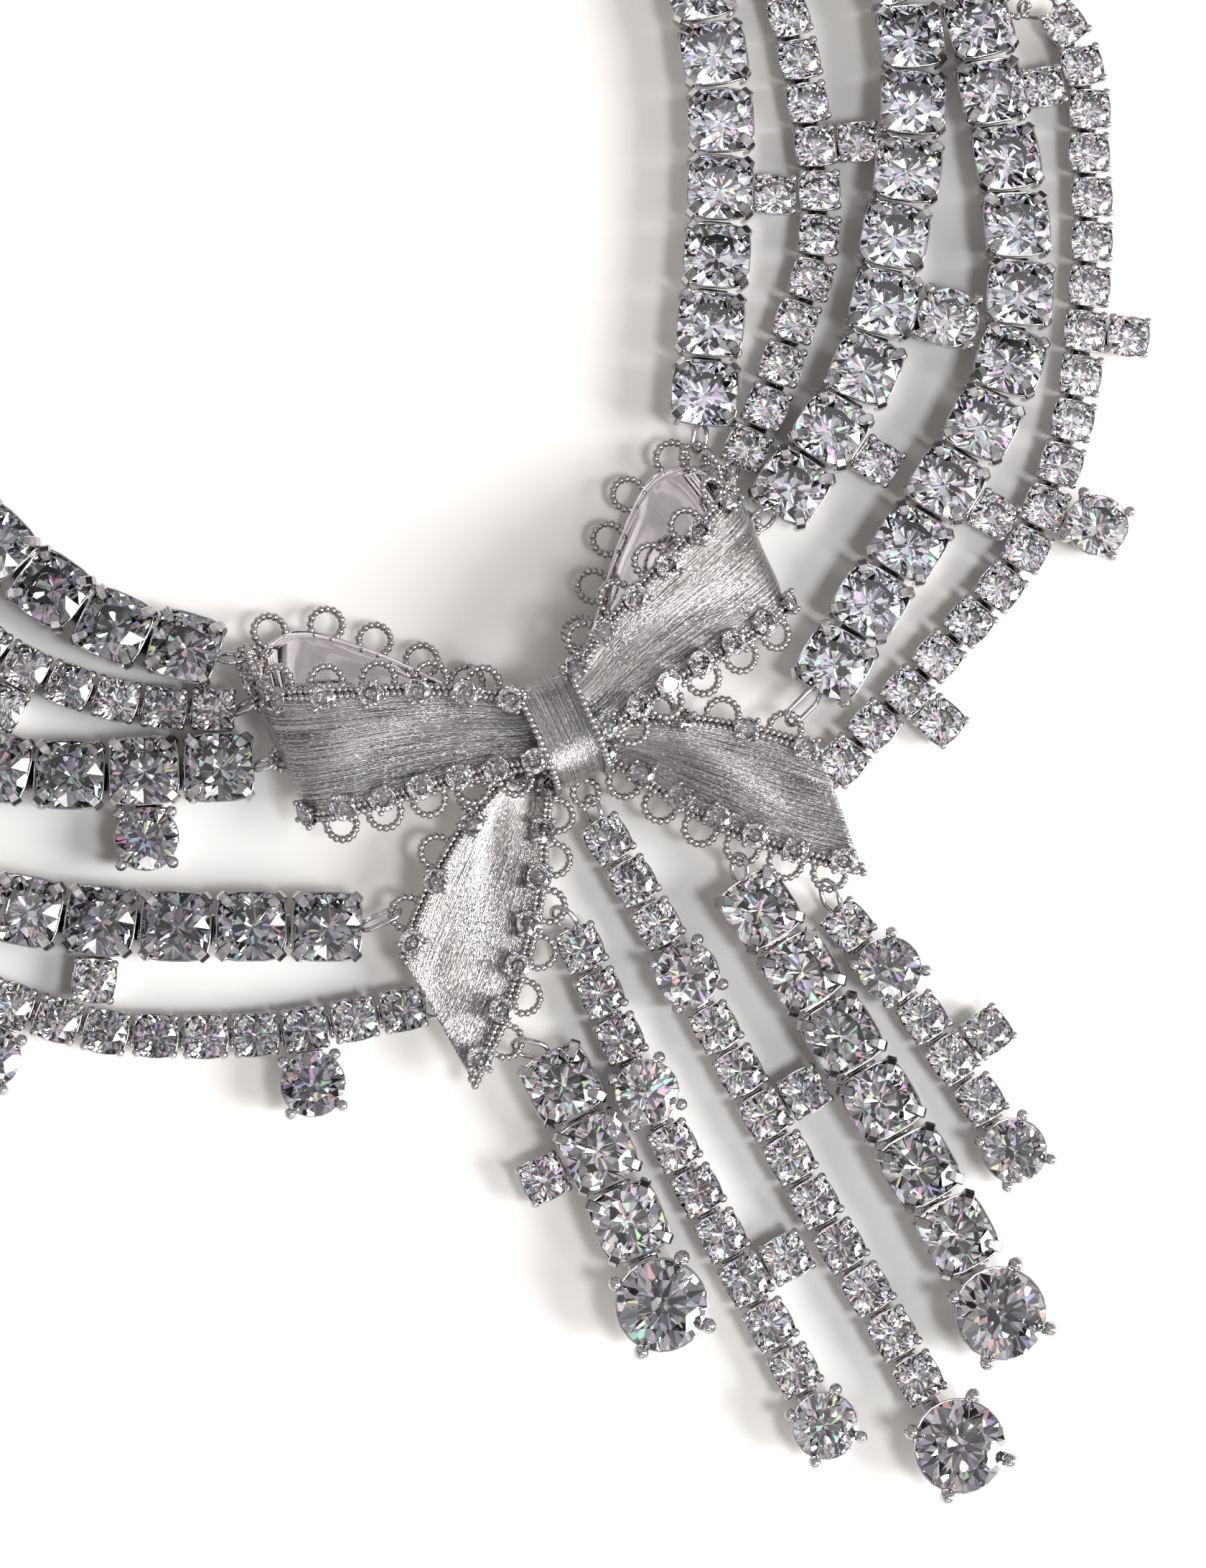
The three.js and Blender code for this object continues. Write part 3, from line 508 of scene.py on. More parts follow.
def neighbours(stones):
    """Each pair of stones whose cups stand side by side."""
    for i, a in enumerate(stones):
        for b in stones[i + 1:]:
            reach = (CUP_SOLIDS[a.kind].width + CUP_SOLIDS[b.kind].width) / 2
            if norm(a.middle - b.middle) < reach + HINGE_GAP:
                yield a, b


def wall_way(stone, away):
    """The direction from a stone's middle to the wall of its cup that faces away the most."""
    angle = quarter_near(stone.angle, math.atan2(away[1], away[0]))
    return np.array([cos(angle), sin(angle), 0.0])


def end_wall(row, goal=(0, 0)):
    """The middle of the wall at a row's end by a goal, facing away from the row, and its way."""
    stones = stones_of[row]
    stone = min(stones, key=lambda s: norm(s.middle - goal))
    pairs = [pair for pair in neighbours(stones) if any(s is stone for s in pair)]
    beside = [b if a is stone else a for a, b in pairs]
    inner = max(beside, key=lambda s: norm(s.middle - goal))
    out = wall_way(stone, stone.middle - inner.middle)
    solid = CUP_SOLIDS[stone.kind]
    wall = np.append(stone.middle, solid.girdle - RING_WIRE / 2) + out * solid.width / 2
    return wall, out


def jump_ring(hole, wall, upright=True):
    """A ring of wire whose far end lies in an eye and whose near end is soldered to a cup."""
    run = wall - hole
    half = (norm(run) + BITE) / 2
    ahead = unit(run)
    level = unit(np.cross([0, 0, 1], ahead))
    across = unit(np.cross(ahead, level) + level * RING_LEAN) if upright else level
    middle = hole + ahead * half
    path = []
    for k in range(28):
        turn = 2 * pi * k / 28
        reach = RING_RISE * cos(turn)
        reach += math.copysign(half - RING_RISE, cos(turn))
        path.append(middle + ahead * reach + across * RING_RISE * sin(turn))
    return tube(path, WIRE, 8, closed=True)


def loop_path(root, outward, sideways, least, reach):
    """The centre line of a wire loop that stands out from its root, its tip and its hole."""
    radius = max(least, (reach + BITE) / WIRE_SPAN)
    centre = root + outward * (reach - radius)
    sweep = 2 * math.acos(-(reach - radius + BITE) / radius)
    path = []
    for i in range(41):
        turn = (i / 40 - 0.5) * sweep
        path.append(centre + radius * (cos(turn) * outward + sin(turn) * sideways))
    tip = centre + outward * radius
    return np.array(path), tip, tip - outward * HOLE_DEPTH


def left_of(way):
    return np.array([-way[1], way[0], 0.0])


def eye_towards(root, wall):
    """A lying eye that reaches from its root towards a cup's wall."""
    run = (wall - root) * (1, 1, 0)
    reach = max(EYE_LEAST, norm(run) - EYE_TO_WALL)
    return loop_path(root, unit(run), left_of(unit(run)), EYE_RADIUS, reach)


# Curves along the ribbon's edges.
def lengths_along(path):
    """How long a path is up to each of its points."""
    return np.append(0, np.cumsum(norm(np.diff(path, axis=0), axis=1)))


def spot_along(path, lengths, distance):
    return [np.interp(distance, lengths, path[:, axis]) for axis in range(3)]


def smooth_curve(points):
    """A centripetal curve through points, as a function of a share from 0 to 1."""
    points = np.array(points, float)
    chain = np.vstack([2 * points[0] - points[1], points, 2 * points[-1] - points[-2]])
    spans = len(points) - 1

    def at(share):
        place = min(max(share, 0.0) * spans, spans - 1e-9)
        i = int(place)
        w = place - i
        p0, p1, p2, p3 = chain[i:i + 4]
        d0, d1, d2 = (math.sqrt(norm(b - a)) for a, b in ((p0, p1), (p1, p2), (p2, p3)))
        t1 = ((p1 - p0) / d0 - (p2 - p0) / (d0 + d1) + (p2 - p1) / d1) * d1
        t2 = ((p2 - p1) / d1 - (p3 - p1) / (d1 + d2) + (p3 - p2) / d2) * d1
        square = (-3 * p1 + 3 * p2 - 2 * t1 - t2) * w * w
        return p1 + t1 * w + square + (2 * p1 - 2 * p2 + t1 + t2) * w ** 3

    return at


def even_shares(curve, steps=300):
    """A function from a share of a curve's length to the share that the curve takes."""
    places = np.linspace(0, 1, steps + 1)
    lengths = lengths_along(np.array([curve(t) for t in places]))
    return lambda share: float(np.interp(share * lengths[-1], lengths, places))


def run_at(curve, t):
    """The way a curve runs at a share of it."""
    return curve(min(1, t + 1e-3)) - curve(max(0, t - 1e-3))


class Ribbon:
    """A ribbon between a rim and a hem, with a soft crown and gathers where the knot holds it."""

    def __init__(self, sections, size, side):
        def place(x, y, z):
            return side * x * size["reach"], y * size["rise"], z * size["height"]

        self.rim = smooth_curve([place(s.rim_x, s.rim_y, s.rim_z) for s in sections])
        self.hem = smooth_curve([place(s.hem_x, s.hem_y, s.hem_z) for s in sections])
        self.side = side
        self.crown = size["crown"]

    def middle(self, t, share):
        return self.hem(t) * (1 - share) + self.rim(t) * share

    def normal(self, t, share):
        ahead = run_at(lambda u: self.middle(u, share), t)
        return unit(np.cross(ahead, self.rim(t) - self.hem(t))) * self.side

    def point(self, t, share, lift=0.0):
        rise = self.crown * 4 * share * (1 - share) * sin(pi * t) ** 2
        return self.middle(t, share) + self.normal(t, share) * (rise + lift)

    def edge(self, name):
        """An edge's curve, the other edge's curve and the share at which the edge lies."""
        return (self.rim, self.hem, 1.0) if name == "rim" else (self.hem, self.rim, 0.0)

    def nearest(self, target, stretch):
        tries = [
            self.point(stretch[0] + (stretch[1] - stretch[0]) * i / 19, k / 10)
            for i in range(20) for k in range(11)
        ]
        return min(tries, key=lambda p: norm(p - target))


def ribbon_shape(ribbon, steps, lanes, gathers, fade):
    """The ribbon as a closed sheet: satin outside, polished edges and inside. Returns the shape,
    the finish of each face and where each point lies along and across the ribbon."""
    points, lies = [], []
    along = 0.0
    last = None
    for i in range(steps + 1):
        t = i / steps
        here = ribbon.point(t, 0.5)
        along += 0 if last is None else norm(here - last)
        last = here
        wide = ribbon.rim(t) - ribbon.hem(t)
        out = unit(wide)
        ring = [(k / lanes, 0.0, RIBBON / 2) for k in range(lanes + 1)]
        ring += [(1, 0.16, RIBBON / 2 - 0.2), (1, 0.16, 0.2 - RIBBON / 2)]
        ring += [(1 - k / lanes, 0.0, -RIBBON / 2) for k in range(lanes + 1)]
        ring += [(0, -0.16, 0.2 - RIBBON / 2), (0, -0.16, RIBBON / 2 - 0.2)]
        near = min(t, 1 - t if gathers[1] else 1.0)
        fold = math.exp(-((near / fade) ** 2))
        for share, outside, lift in ring:
            ripple = GATHER * fold * sin(gathers[0] * 2 * pi * share + 0.6)
            ripple += WAVE * (1 - fold) * sin(2.3 * share * pi + 17 * t)
            ripple *= sin(pi * share)
            swell = SWELL * (1 - (2 * share - 1) ** 4) * sin(pi * t) ** 2
            points.append(ribbon.point(t, share, lift + ripple + swell) + out * outside)
            lies.append((along, share * ACROSS))
    around = len(points) // (steps + 1)
    faces = skin(steps + 1, around, flipped=True)
    faces.append(tuple(range(around)))
    faces.append(tuple(range(steps * around, (steps + 1) * around))[::-1])
    if ribbon.side < 0:
        faces = [face[::-1] for face in faces]
    finishes = [0 if k < lanes else 1 for k in range(around)] * steps + [1, 1]
    return Shape(np.array(points), faces, True), finishes, np.array(lies)


def string_beads(pile, path, finish=0):
    """Beads at an even pitch along a thin wire, each turned its own way."""
    path = np.array(path, float)
    pile.add(tube(path[::2], BEAD * BEAD_WIRE, 6), finish=finish)
    lengths = lengths_along(path)
    many = max(2, int(round(lengths[-1] / BEAD_PITCH)) + 1)
    for d in np.linspace(0, lengths[-1], many):
        place = turned(chance.uniform(0, pi), *spot_along(path, lengths, d))
        size = chance.uniform(0.93, 1.07)
        place[:3, :3] *= size
        pile.add(BEAD_SHAPE, place, finish)


def edge_line(ribbon, edge, first, last, out, lift):
    """A line that runs along one edge of a ribbon, a little way out and up from it."""
    curve, other, share = ribbon.edge(edge)
    path = []
    for i in range(121):
        t = first + (last - first) * i / 120
        root = curve(t)
        path.append(root + unit(root - other(t)) * out + ribbon.normal(t, share) * lift)
    return path


def picots(pile, ribbon, edge, places):
    """Beaded picots along one edge. Returns each one's tip and the hole that a ring may use."""
    curve, other, _ = ribbon.edge(edge)
    to_t = even_shares(curve)
    hooks = []
    for i in range(places.count):
        share = places.first + (places.last - places.first) * i / (places.count - 1)
        t = to_t(share)
        root = curve(t)
        tangent = unit(run_at(curve, t))
        outward = root - other(t)
        outward = unit(outward - tangent * np.dot(outward, tangent))
        path, tip, hole = loop_path(root, outward, tangent, PICOT_RADIUS, PICOT_REACH)
        string_beads(pile, path)
        hooks.append((tip, hole))
    return hooks


def pave(metal, stones, ribbon, edge, shares):
    """Small prong-set stones that sit on the edge of a ribbon, upright to its face."""
    curve, other, side = ribbon.edge(edge)
    to_t = even_shares(curve)
    for share in shares:
        t = to_t(share)
        inward = unit(other(t) - curve(t))
        normal = ribbon.normal(t, side)
        at = curve(t) + inward * PAVE_INSET + normal * (RIBBON / 2 - 0.1)
        lean = normal + inward * chance.uniform(-0.35, 0.1)
        spin = turned(chance.uniform(-0.4, 0.4))
        set_stone(metal, stones, "pave", facing(at, run_at(curve, t), lean) @ spin, PAVE_TINT)


# Finishes. Groups put out colours, heights and masks, and each finish has its own shader.
def new_group(name, inputs, outputs):
    group = bpy.data.node_groups.new(name, "ShaderNodeTree")
    for socket, kind, value in inputs:
        made = group.interface.new_socket(name=socket, in_out="INPUT", socket_type=kind)
        if value is not None:
            made.default_value = value
    for socket, kind in outputs:
        group.interface.new_socket(name=socket, in_out="OUTPUT", socket_type=kind)
    return group, group.nodes.new("NodeGroupInput"), group.nodes.new("NodeGroupOutput")


def feed(tree, value, socket):
    """A socket's value, which is a plain one or another node's output."""
    if isinstance(value, (int, float, tuple)):
        socket.default_value = value
    elif value is not None:
        tree.links.new(value, socket)


def math_node(tree, operation, *values):
    made = tree.nodes.new("ShaderNodeMath")
    made.operation = operation
    for value, socket in zip(values, made.inputs):
        feed(tree, value, socket)
    return made.outputs[0]


def mix_colour(tree, factor, a, b):
    made = tree.nodes.new("ShaderNodeMix")
    made.data_type = "RGBA"
    for index, value in ((0, factor), (6, a), (7, b)):
        feed(tree, value, made.inputs[index])
    return made.outputs[2]


def noise(tree, vector, scale, detail=2.0, roughness=0.5):
    made = tree.nodes.new("ShaderNodeTexNoise")
    given = {"Scale": scale, "Detail": detail, "Roughness": roughness, "Vector": vector}
    for name, value in given.items():
        feed(tree, value, made.inputs[name])
    return made.outputs["Fac"]


def ramp(tree, factor, low, high, to_low=0.0, to_high=1.0):
    made = tree.nodes.new("ShaderNodeMapRange")
    feed(tree, factor, made.inputs["Value"])
    for name, value in (("From Min", low), ("From Max", high), ("To Min", to_low), ("To Max", to_high)):
        made.inputs[name].default_value = value
    return made.outputs["Result"]


def stretched(tree, vector, scale):
    made = tree.nodes.new("ShaderNodeVectorMath")
    made.operation = "MULTIPLY"
    feed(tree, vector, made.inputs[0])
    made.inputs[1].default_value = scale
    return made.outputs[0]


def polish_wear_group():
    """The faint cloud and fine dimples of polished metal that has been handled."""
    group, given, result = new_group(
        "polish wear",
        [("Grain", "NodeSocketFloat", 900.0), ("Amount", "NodeSocketFloat", 1.0)],
        [("Mask", "NodeSocketFloat"), ("Height", "NodeSocketFloat")],
    )
    place = group.nodes.new("ShaderNodeTexCoord").outputs["Object"]
    cloud = noise(group, place, given.outputs["Grain"], 4.0, 0.6)
    dimples = noise(group, place, 5200.0, 2.0)
    mask = ramp(group, cloud, 0.38, 0.68)
    amount = given.outputs["Amount"]
    both = math_node(group, "ADD", cloud, dimples)
    feed(group, math_node(group, "MULTIPLY", mask, amount), result.inputs["Mask"])
    feed(group, math_node(group, "MULTIPLY", both, amount), result.inputs["Height"])
    return group


def brushing_group():
    """Engraved lines along a ribbon, a fine grain with painted glints and wide patches of painted
    sheen, all from where a point lies on the ribbon."""
    group, given, result = new_group(
        "engraved lines",
        [("Lie", "NodeSocketVector", None), ("Depth", "NodeSocketFloat", 1.0)],
        [(name, "NodeSocketFloat") for name in ("Height", "Shade", "Painted Glints", "Painted Sheen")],
    )
    lie = given.outputs["Lie"]
    broad, fine, grain, painted_sheen = [
        noise(group, stretched(group, lie, scale), 1.0, detail, roughness)
        for scale, detail, roughness in (
            ((0.05, 1.2, 1), 2.0, 0.5), ((0.09, 5.4, 1), 2.0, 0.6),
            ((1.9, 7.0, 1), 1.0, 0.6), ((0.10, 0.17, 1), 1.0, 0.4),
        )
    ]
    low_lines = math_node(group, "MULTIPLY", broad, 0.3)
    high_lines = math_node(group, "MULTIPLY", fine, 0.7)
    lines = math_node(group, "ADD", low_lines, high_lines)
    rough = math_node(group, "MULTIPLY_ADD", grain, 0.7, lines)
    feed(group, math_node(group, "MULTIPLY", rough, given.outputs["Depth"]), result.inputs["Height"])
    # Shade follows the engraved lines; the other two are masks for painted glints and painted sheen.
    for name, value, low, high in (
        ("Shade", fine, 0.38, 0.60), ("Painted Glints", grain, 0.56, 0.70), ("Painted Sheen", painted_sheen, 0.40, 0.66),
    ):
        feed(group, ramp(group, value, low, high), result.inputs[name])
    return group


POLISH_WEAR = polish_wear_group()
ENGRAVED_LINES = brushing_group()


def new_finish(name):
    finish = bpy.data.materials.new(name)
    finish.use_nodes = True
    return finish, finish.node_tree, finish.node_tree.nodes["Principled BSDF"]


def placed(tree, group):
    made = tree.nodes.new("ShaderNodeGroup")
    made.node_tree = group
    return made


def bumped(tree, shader, height, distance, strength=1.0):
    bump = tree.nodes.new("ShaderNodeBump")
    bump.inputs["Distance"].default_value = distance
    bump.inputs["Strength"].default_value = strength
    feed(tree, height, bump.inputs["Height"])
    feed(tree, bump.outputs["Normal"], shader.inputs["Normal"])


def polished_metal(name, light, wear_and_painted_shade, rough_low, rough_high, grain, depth):
    """Polished rhodium-coloured metal with a faint wear cloud."""
    finish, tree, shader = new_finish(name)
    wear = placed(tree, POLISH_WEAR)
    wear.inputs["Grain"].default_value = grain
    shader.inputs["Metallic"].default_value = 1.0
    mask = wear.outputs["Mask"]
    feed(tree, mix_colour(tree, mask, light, wear_and_painted_shade), shader.inputs["Base Color"])
    feed(tree, ramp(tree, mask, 0, 1, rough_low, rough_high), shader.inputs["Roughness"])
    bumped(tree, shader, wear.outputs["Height"], depth)
    return finish


def satin_metal(name, depth, hem_shine, least_painted_sheen):
    """Engraved satin metal whose lines run along the ribbon, brighter near the hem. Its colour holds
    painted sheen patches, painted glints and painted shade.
    """
    finish, tree, shader = new_finish(name)
    lie = tree.nodes.new("ShaderNodeUVMap")
    lie.uv_map = "lie"
    lines = placed(tree, ENGRAVED_LINES)
    feed(tree, lie.outputs["UV"], lines.inputs["Lie"])
    shader.inputs["Metallic"].default_value = 1.0
    shade = mix_colour(tree, lines.outputs["Shade"], (0.11, 0.10, 0.095, 1), (0.66, 0.64, 0.63, 1))
    painted_sheen_colour = mix_colour(tree, lines.outputs["Shade"], (0.30, 0.285, 0.28, 1), (0.88, 0.87, 0.865, 1))
    # Painted sheen: wide patches where the colour is lifted to a pale grey, with lower roughness there.
    painted_sheen = ramp(tree, lines.outputs["Painted Sheen"], 0, 1, least_painted_sheen, 1.0)
    shade = mix_colour(tree, painted_sheen, shade, painted_sheen_colour)
    # This attribute darkens a satin towards dark grey: painted shade, set on the left tail.
    wear_and_painted_shade = tree.nodes.new("ShaderNodeAttribute")
    wear_and_painted_shade.attribute_name = "tint"
    shade = mix_colour(tree, wear_and_painted_shade.outputs["Fac"], shade, (0.13, 0.12, 0.115, 1))
    # Painted glints: spots of the fine grain lifted to near white.
    shade = mix_colour(tree, lines.outputs["Painted Glints"], shade, (0.97, 0.965, 0.96, 1))
    feed(tree, shade, shader.inputs["Base Color"])
    rough = ramp(tree, painted_sheen, 0, 1, 0.30, 0.20)
    across = tree.nodes.new("ShaderNodeSeparateXYZ")
    feed(tree, lie.outputs["UV"], across.inputs[0])
    near_hem = ramp(tree, across.outputs["Y"], 5.0, 1.0)
    shine = math_node(tree, "MULTIPLY", near_hem, hem_shine)
    feed(tree, math_node(tree, "SUBTRACT", rough, shine), shader.inputs["Roughness"])
    bumped(tree, shader, lines.outputs["Height"], depth)
    return finish


def clear_stone():
    """A clear cut stone, cool or faintly pink by its own tint, or darkened towards smoky grey as
    painted shade, with a breath of surface wear.
    """
    finish, tree, shader = new_finish("clear_cut_stone")
    tint = tree.nodes.new("ShaderNodeAttribute")
    tint.attribute_name = "tint"
    # The smoky grey is painted shade for the darker left rows; the fringe's stones are mixed part of
    # the way to it.
    cool, warm, painted_shade_grey = (0.92, 0.92, 1.0, 1), (0.96, 0.92, 0.925, 1), (0.25, 0.24, 0.27, 1)
    colour = mix_colour(tree, ramp(tree, tint.outputs["Fac"], 0.0, 0.5), cool, warm)
    colour = mix_colour(tree, ramp(tree, tint.outputs["Fac"], 0.5, 1.0), colour, painted_shade_grey)
    wear = placed(tree, POLISH_WEAR)
    wear.inputs["Grain"].default_value = 1500.0
    worn = math_node(tree, "MULTIPLY", wear.outputs["Mask"], 0.12)
    colour = mix_colour(tree, worn, colour, (0.86, 0.86, 0.9, 1))
    feed(tree, colour, shader.inputs["Base Color"])
    feed(tree, ramp(tree, wear.outputs["Mask"], 0, 1, 0.0, 0.012), shader.inputs["Roughness"])
    shader.inputs["Metallic"].default_value = 0.0
    shader.inputs["Transmission Weight"].default_value = 1.0
    shader.inputs["IOR"].default_value = 2.15
    return finish


POLISHED = polished_metal(
    "polished_silver", (0.60, 0.58, 0.575, 1), (0.40, 0.385, 0.38, 1), 0.05, 0.14, 900.0, 0.000004)
BEADED = polished_metal(
    "beaded_silver", (0.56, 0.535, 0.525, 1), (0.30, 0.285, 0.28, 1), 0.08, 0.22, 2200.0, 0.000012)
MIRROR = polished_metal(
    "mirror_silver", (0.80, 0.76, 0.75, 1), (0.66, 0.60, 0.585, 1), 0.02, 0.07, 260.0, 0.000002)
SATIN = satin_metal("satin_ribbon_silver", 0.0004, 0.05, 0.0)
# The knot's satin takes most of the painted sheen, which paints it lighter.
KNOT_SATIN = satin_metal("satin_knot_silver", 0.0003, 0.0, 0.85)
STONE = clear_stone()

# The rows and the fringe.
ROWS = [f"row_{i}_{side}" for i in range(1, 6) for side in ("left", "right")]
FRINGE = [f"fringe_{i}" for i in range(1, 6)]
# Tints of the stones: 0 is cool, 0.5 faintly pink and 1 a smoky grey that is painted shade on the
# darker left.
TINTS_AND_SHADE = {
    "left": {"large": 1.0, "small": 0.8, "medium": 0.92},
    "right": {"large": 0.1, "small": 0.4, "medium": 0.25},
    "fringe": {"large": 0.74, "small": 0.66, "medium": 0.74, "drop": 0.96},
}
stones_of = {name: read_stones(name) for name in ROWS + FRINGE}
rings = {name: [] for name in stones_of}
eyes_of = {name: [] for name in stones_of}


def add_hinge(metal, a, b):
    """The low bar that joins two cups, with a pin across it."""
    run = b.middle - a.middle
    width_a, width_b = CUP_SOLIDS[a.kind].width, CUP_SOLIDS[b.kind].width
    half = min(width_a, width_b) / 2
    gap_at = a.middle + run * (width_a / (width_a + width_b))
    ahead = np.append(unit(run), 0)
    place = facing(np.append(gap_at, 0), ahead, (0, 0, 1))
    flat = [(side * HINGE["reach"], HINGE["level"]) for side in (-1, 0, 1)]
    metal.add(bar(flat, [half * 0.9] * 3, HINGE["thick"]), place)
    pin = [(0, share * half, HINGE["pin_level"]) for share in (-0.55, 0, 0.55)]
    metal.add(tube(pin, HINGE["pin"], 8), place)


def build_row(name):
    """One row of set stones with its hinges, jump rings and any eyes for other rows."""
    metal, stones = Pile(), Pile()
    tints_and_shade = TINTS_AND_SHADE["fringe" if name in FRINGE else name.split("_")[2]]
    for stone in stones_of[name]:
        place = turned(stone.angle, *stone.middle)
        tint = tints_and_shade[stone.kind] + chance.uniform(-TINT_SPREAD, TINT_SPREAD)
        set_stone(metal, stones, stone.kind, place, min(1.0, max(0.0, tint)))
    for a, b in neighbours(stones_of[name]):
        add_hinge(metal, a, b)
    for ring in rings[name]:
        metal.add(ring)
    for path in eyes_of[name]:
        string_beads(metal, path, finish=1)
    metal.piece(f"{name}_settings", [POLISHED, BEADED], "polished_silver", [name])
    stones.piece(f"{name}_stones", [STONE], "clear_stone")


def join_to_host(name):
    """The eye on the row inside this one, where this row ends, and the ring through it."""
    number, side = name.rsplit("_", 1)
    host = f"{HOSTS[number]}_{side}"
    wall, _ = end_wall(name, NAPE)
    stone = min(stones_of[host], key=lambda s: norm(s.middle - wall[:2]))
    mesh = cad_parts[host].data
    corners = (np.array([v.co for v in mesh.vertices]) - ORIGIN) / MM
    tip_corner = corners[np.argmin(norm(corners - wall, axis=1))]
    outward = wall_way(stone, wall[:2] - stone.middle)
    sideways = left_of(outward)
    solid = CUP_SOLIDS[stone.kind]
    shift = np.dot(tip_corner[:2] - stone.middle, sideways[:2])
    root = np.append(stone.middle, solid.girdle - RING_WIRE / 2)
    root = root + outward * solid.width / 2 + sideways * shift
    path, _, hole = loop_path(root, outward, sideways, EYE_RADIUS, EYE_REACH)
    eyes_of[host].append(path)
    rings[name].append(jump_ring(hole, wall))


# The bow: two loops and two tails with their lace, and the knot's band.
LOOP_RIM_PAVE = (0.05, 0.12, 0.19, 0.26, 0.33, 0.4, 0.47)
LOOP_HEM_PAVE = (0.06, 0.13, 0.2, 0.27, 0.34, 0.41, 0.48)
TAIL_RIM_PAVE = (0.2, 0.45, 0.7, 0.93)
TAIL_HEM_PAVE = (0.09, 0.23, 0.37, 0.51, 0.64, 0.78, 0.94)


def build_lace(name, ribbon, edges, eyes):
    """Beaded picots, beaded borders, small set stones and eyes along a ribbon's edges."""
    metal, stones = Pile(), Pile()
    hooks = []
    for edge, places, border, gems in edges:
        hooks += picots(metal, ribbon, edge, places)
        for out, lift in BORDER_LINES:
            string_beads(metal, edge_line(ribbon, edge, *border, out, RIBBON / 2 + lift))
        pave(metal, stones, ribbon, edge, gems)
    for path in eyes:
        string_beads(metal, path)
    metal.piece(f"{name}_lace", [BEADED], "satin_silver")
    stones.piece(f"{name}_stones", [STONE], "clear_stone")
    return hooks


def build_ribbon(name, sections, size, sign, *weave):
    """The ribbon's own sheet, satin outside and polished inside."""
    ribbon = Ribbon(sections, size, sign)
    sheet, finishes, lies = ribbon_shape(ribbon, *weave)
    body = Pile()
    body.add(sheet, finish=finishes, tint=size["wear_and_painted_shade"], lie=lies)
    body.piece(f"{name}_ribbon", [SATIN, MIRROR], "satin_silver", [name])
    return ribbon


def build_loop(side, sign):
    """One loop of the bow, with the eyes on its fold that rows 1 to 3 hang from."""
    name = f"bow_loop_{side}"
    ribbon = build_ribbon(name, LOOP_SECTIONS, LOOP, sign, 110, 18, (2.5, True), 0.12)
    eyes = []
    for i in (1, 2, 3):
        row = f"row_{i}_{side}"
        wall, _ = end_wall(row)
        path, _, hole = eye_towards(ribbon.nearest(wall, FOLD), wall)
        eyes.append(path)
        rings[row].append(jump_ring(hole, wall))
    edges = [
        ("rim", LOOP_RIM_PICOTS, (0.06, 0.56), LOOP_RIM_PAVE),
        ("hem", LOOP_HEM_PICOTS, (0.06, 0.5), LOOP_HEM_PAVE),
    ]
    build_lace(name, ribbon, edges, eyes)


def build_tail(side, sign, fringes):
    """One tail of the bow, whose lace holds row 4 and strands of the fringe, and row 5 below."""
    name = f"bow_tail_{side}"
    ribbon = build_ribbon(name, TAIL_SECTIONS, TAILS[side], sign, 60, 16, (2.0, False), 0.25)
    row = f"row_5_{side}"
    wall, out = end_wall(row)
    under = wall + out * LOW_EYE_TO_WALL
    root = np.append(under[:2], ribbon.nearest(under, CUT_END)[2] - RIBBON / 2)
    down = np.array([0, 0, -1.0])
    path, _, hole = loop_path(root, down, -out, LOW_EYE_RADIUS, root[2] - LOW_EYE)
    rings[row].append(jump_ring(hole, np.append(wall[:2], hole[2]), upright=False))
    edges = [
        ("rim", TAIL_RIM_PICOTS, (0.1, 1.0), TAIL_RIM_PAVE),
        ("hem", TAIL_HEM_PICOTS[side], (0.1, 1.0), TAIL_HEM_PAVE),
    ]
    hooks = build_lace(name, ribbon, edges, [path])
    for strand in [f"row_4_{side}", *fringes]:
        wall, _ = end_wall(strand)
        tip, hole = min(hooks, key=lambda hook: norm(hook[0] - wall))
        rings[strand].append(jump_ring(hole, wall))


def rounded_box_path(south, north, low, high, radius, steps):
    """A closed path round a rounded box in the Y and Z directions."""
    path = []
    corners = [
        (north - radius, low + radius, -0.5), (north - radius, high - radius, 0.0),
        (-south + radius, high - radius, 0.5), (-south + radius, low + radius, 1.0),
    ]
    for y, z, start in corners:
        for i in range(steps + 1):
            turn = pi * (start + 0.5 * i / steps)
            path.append((0.0, y + radius * cos(turn), z + radius * sin(turn)))
    return np.array(path)


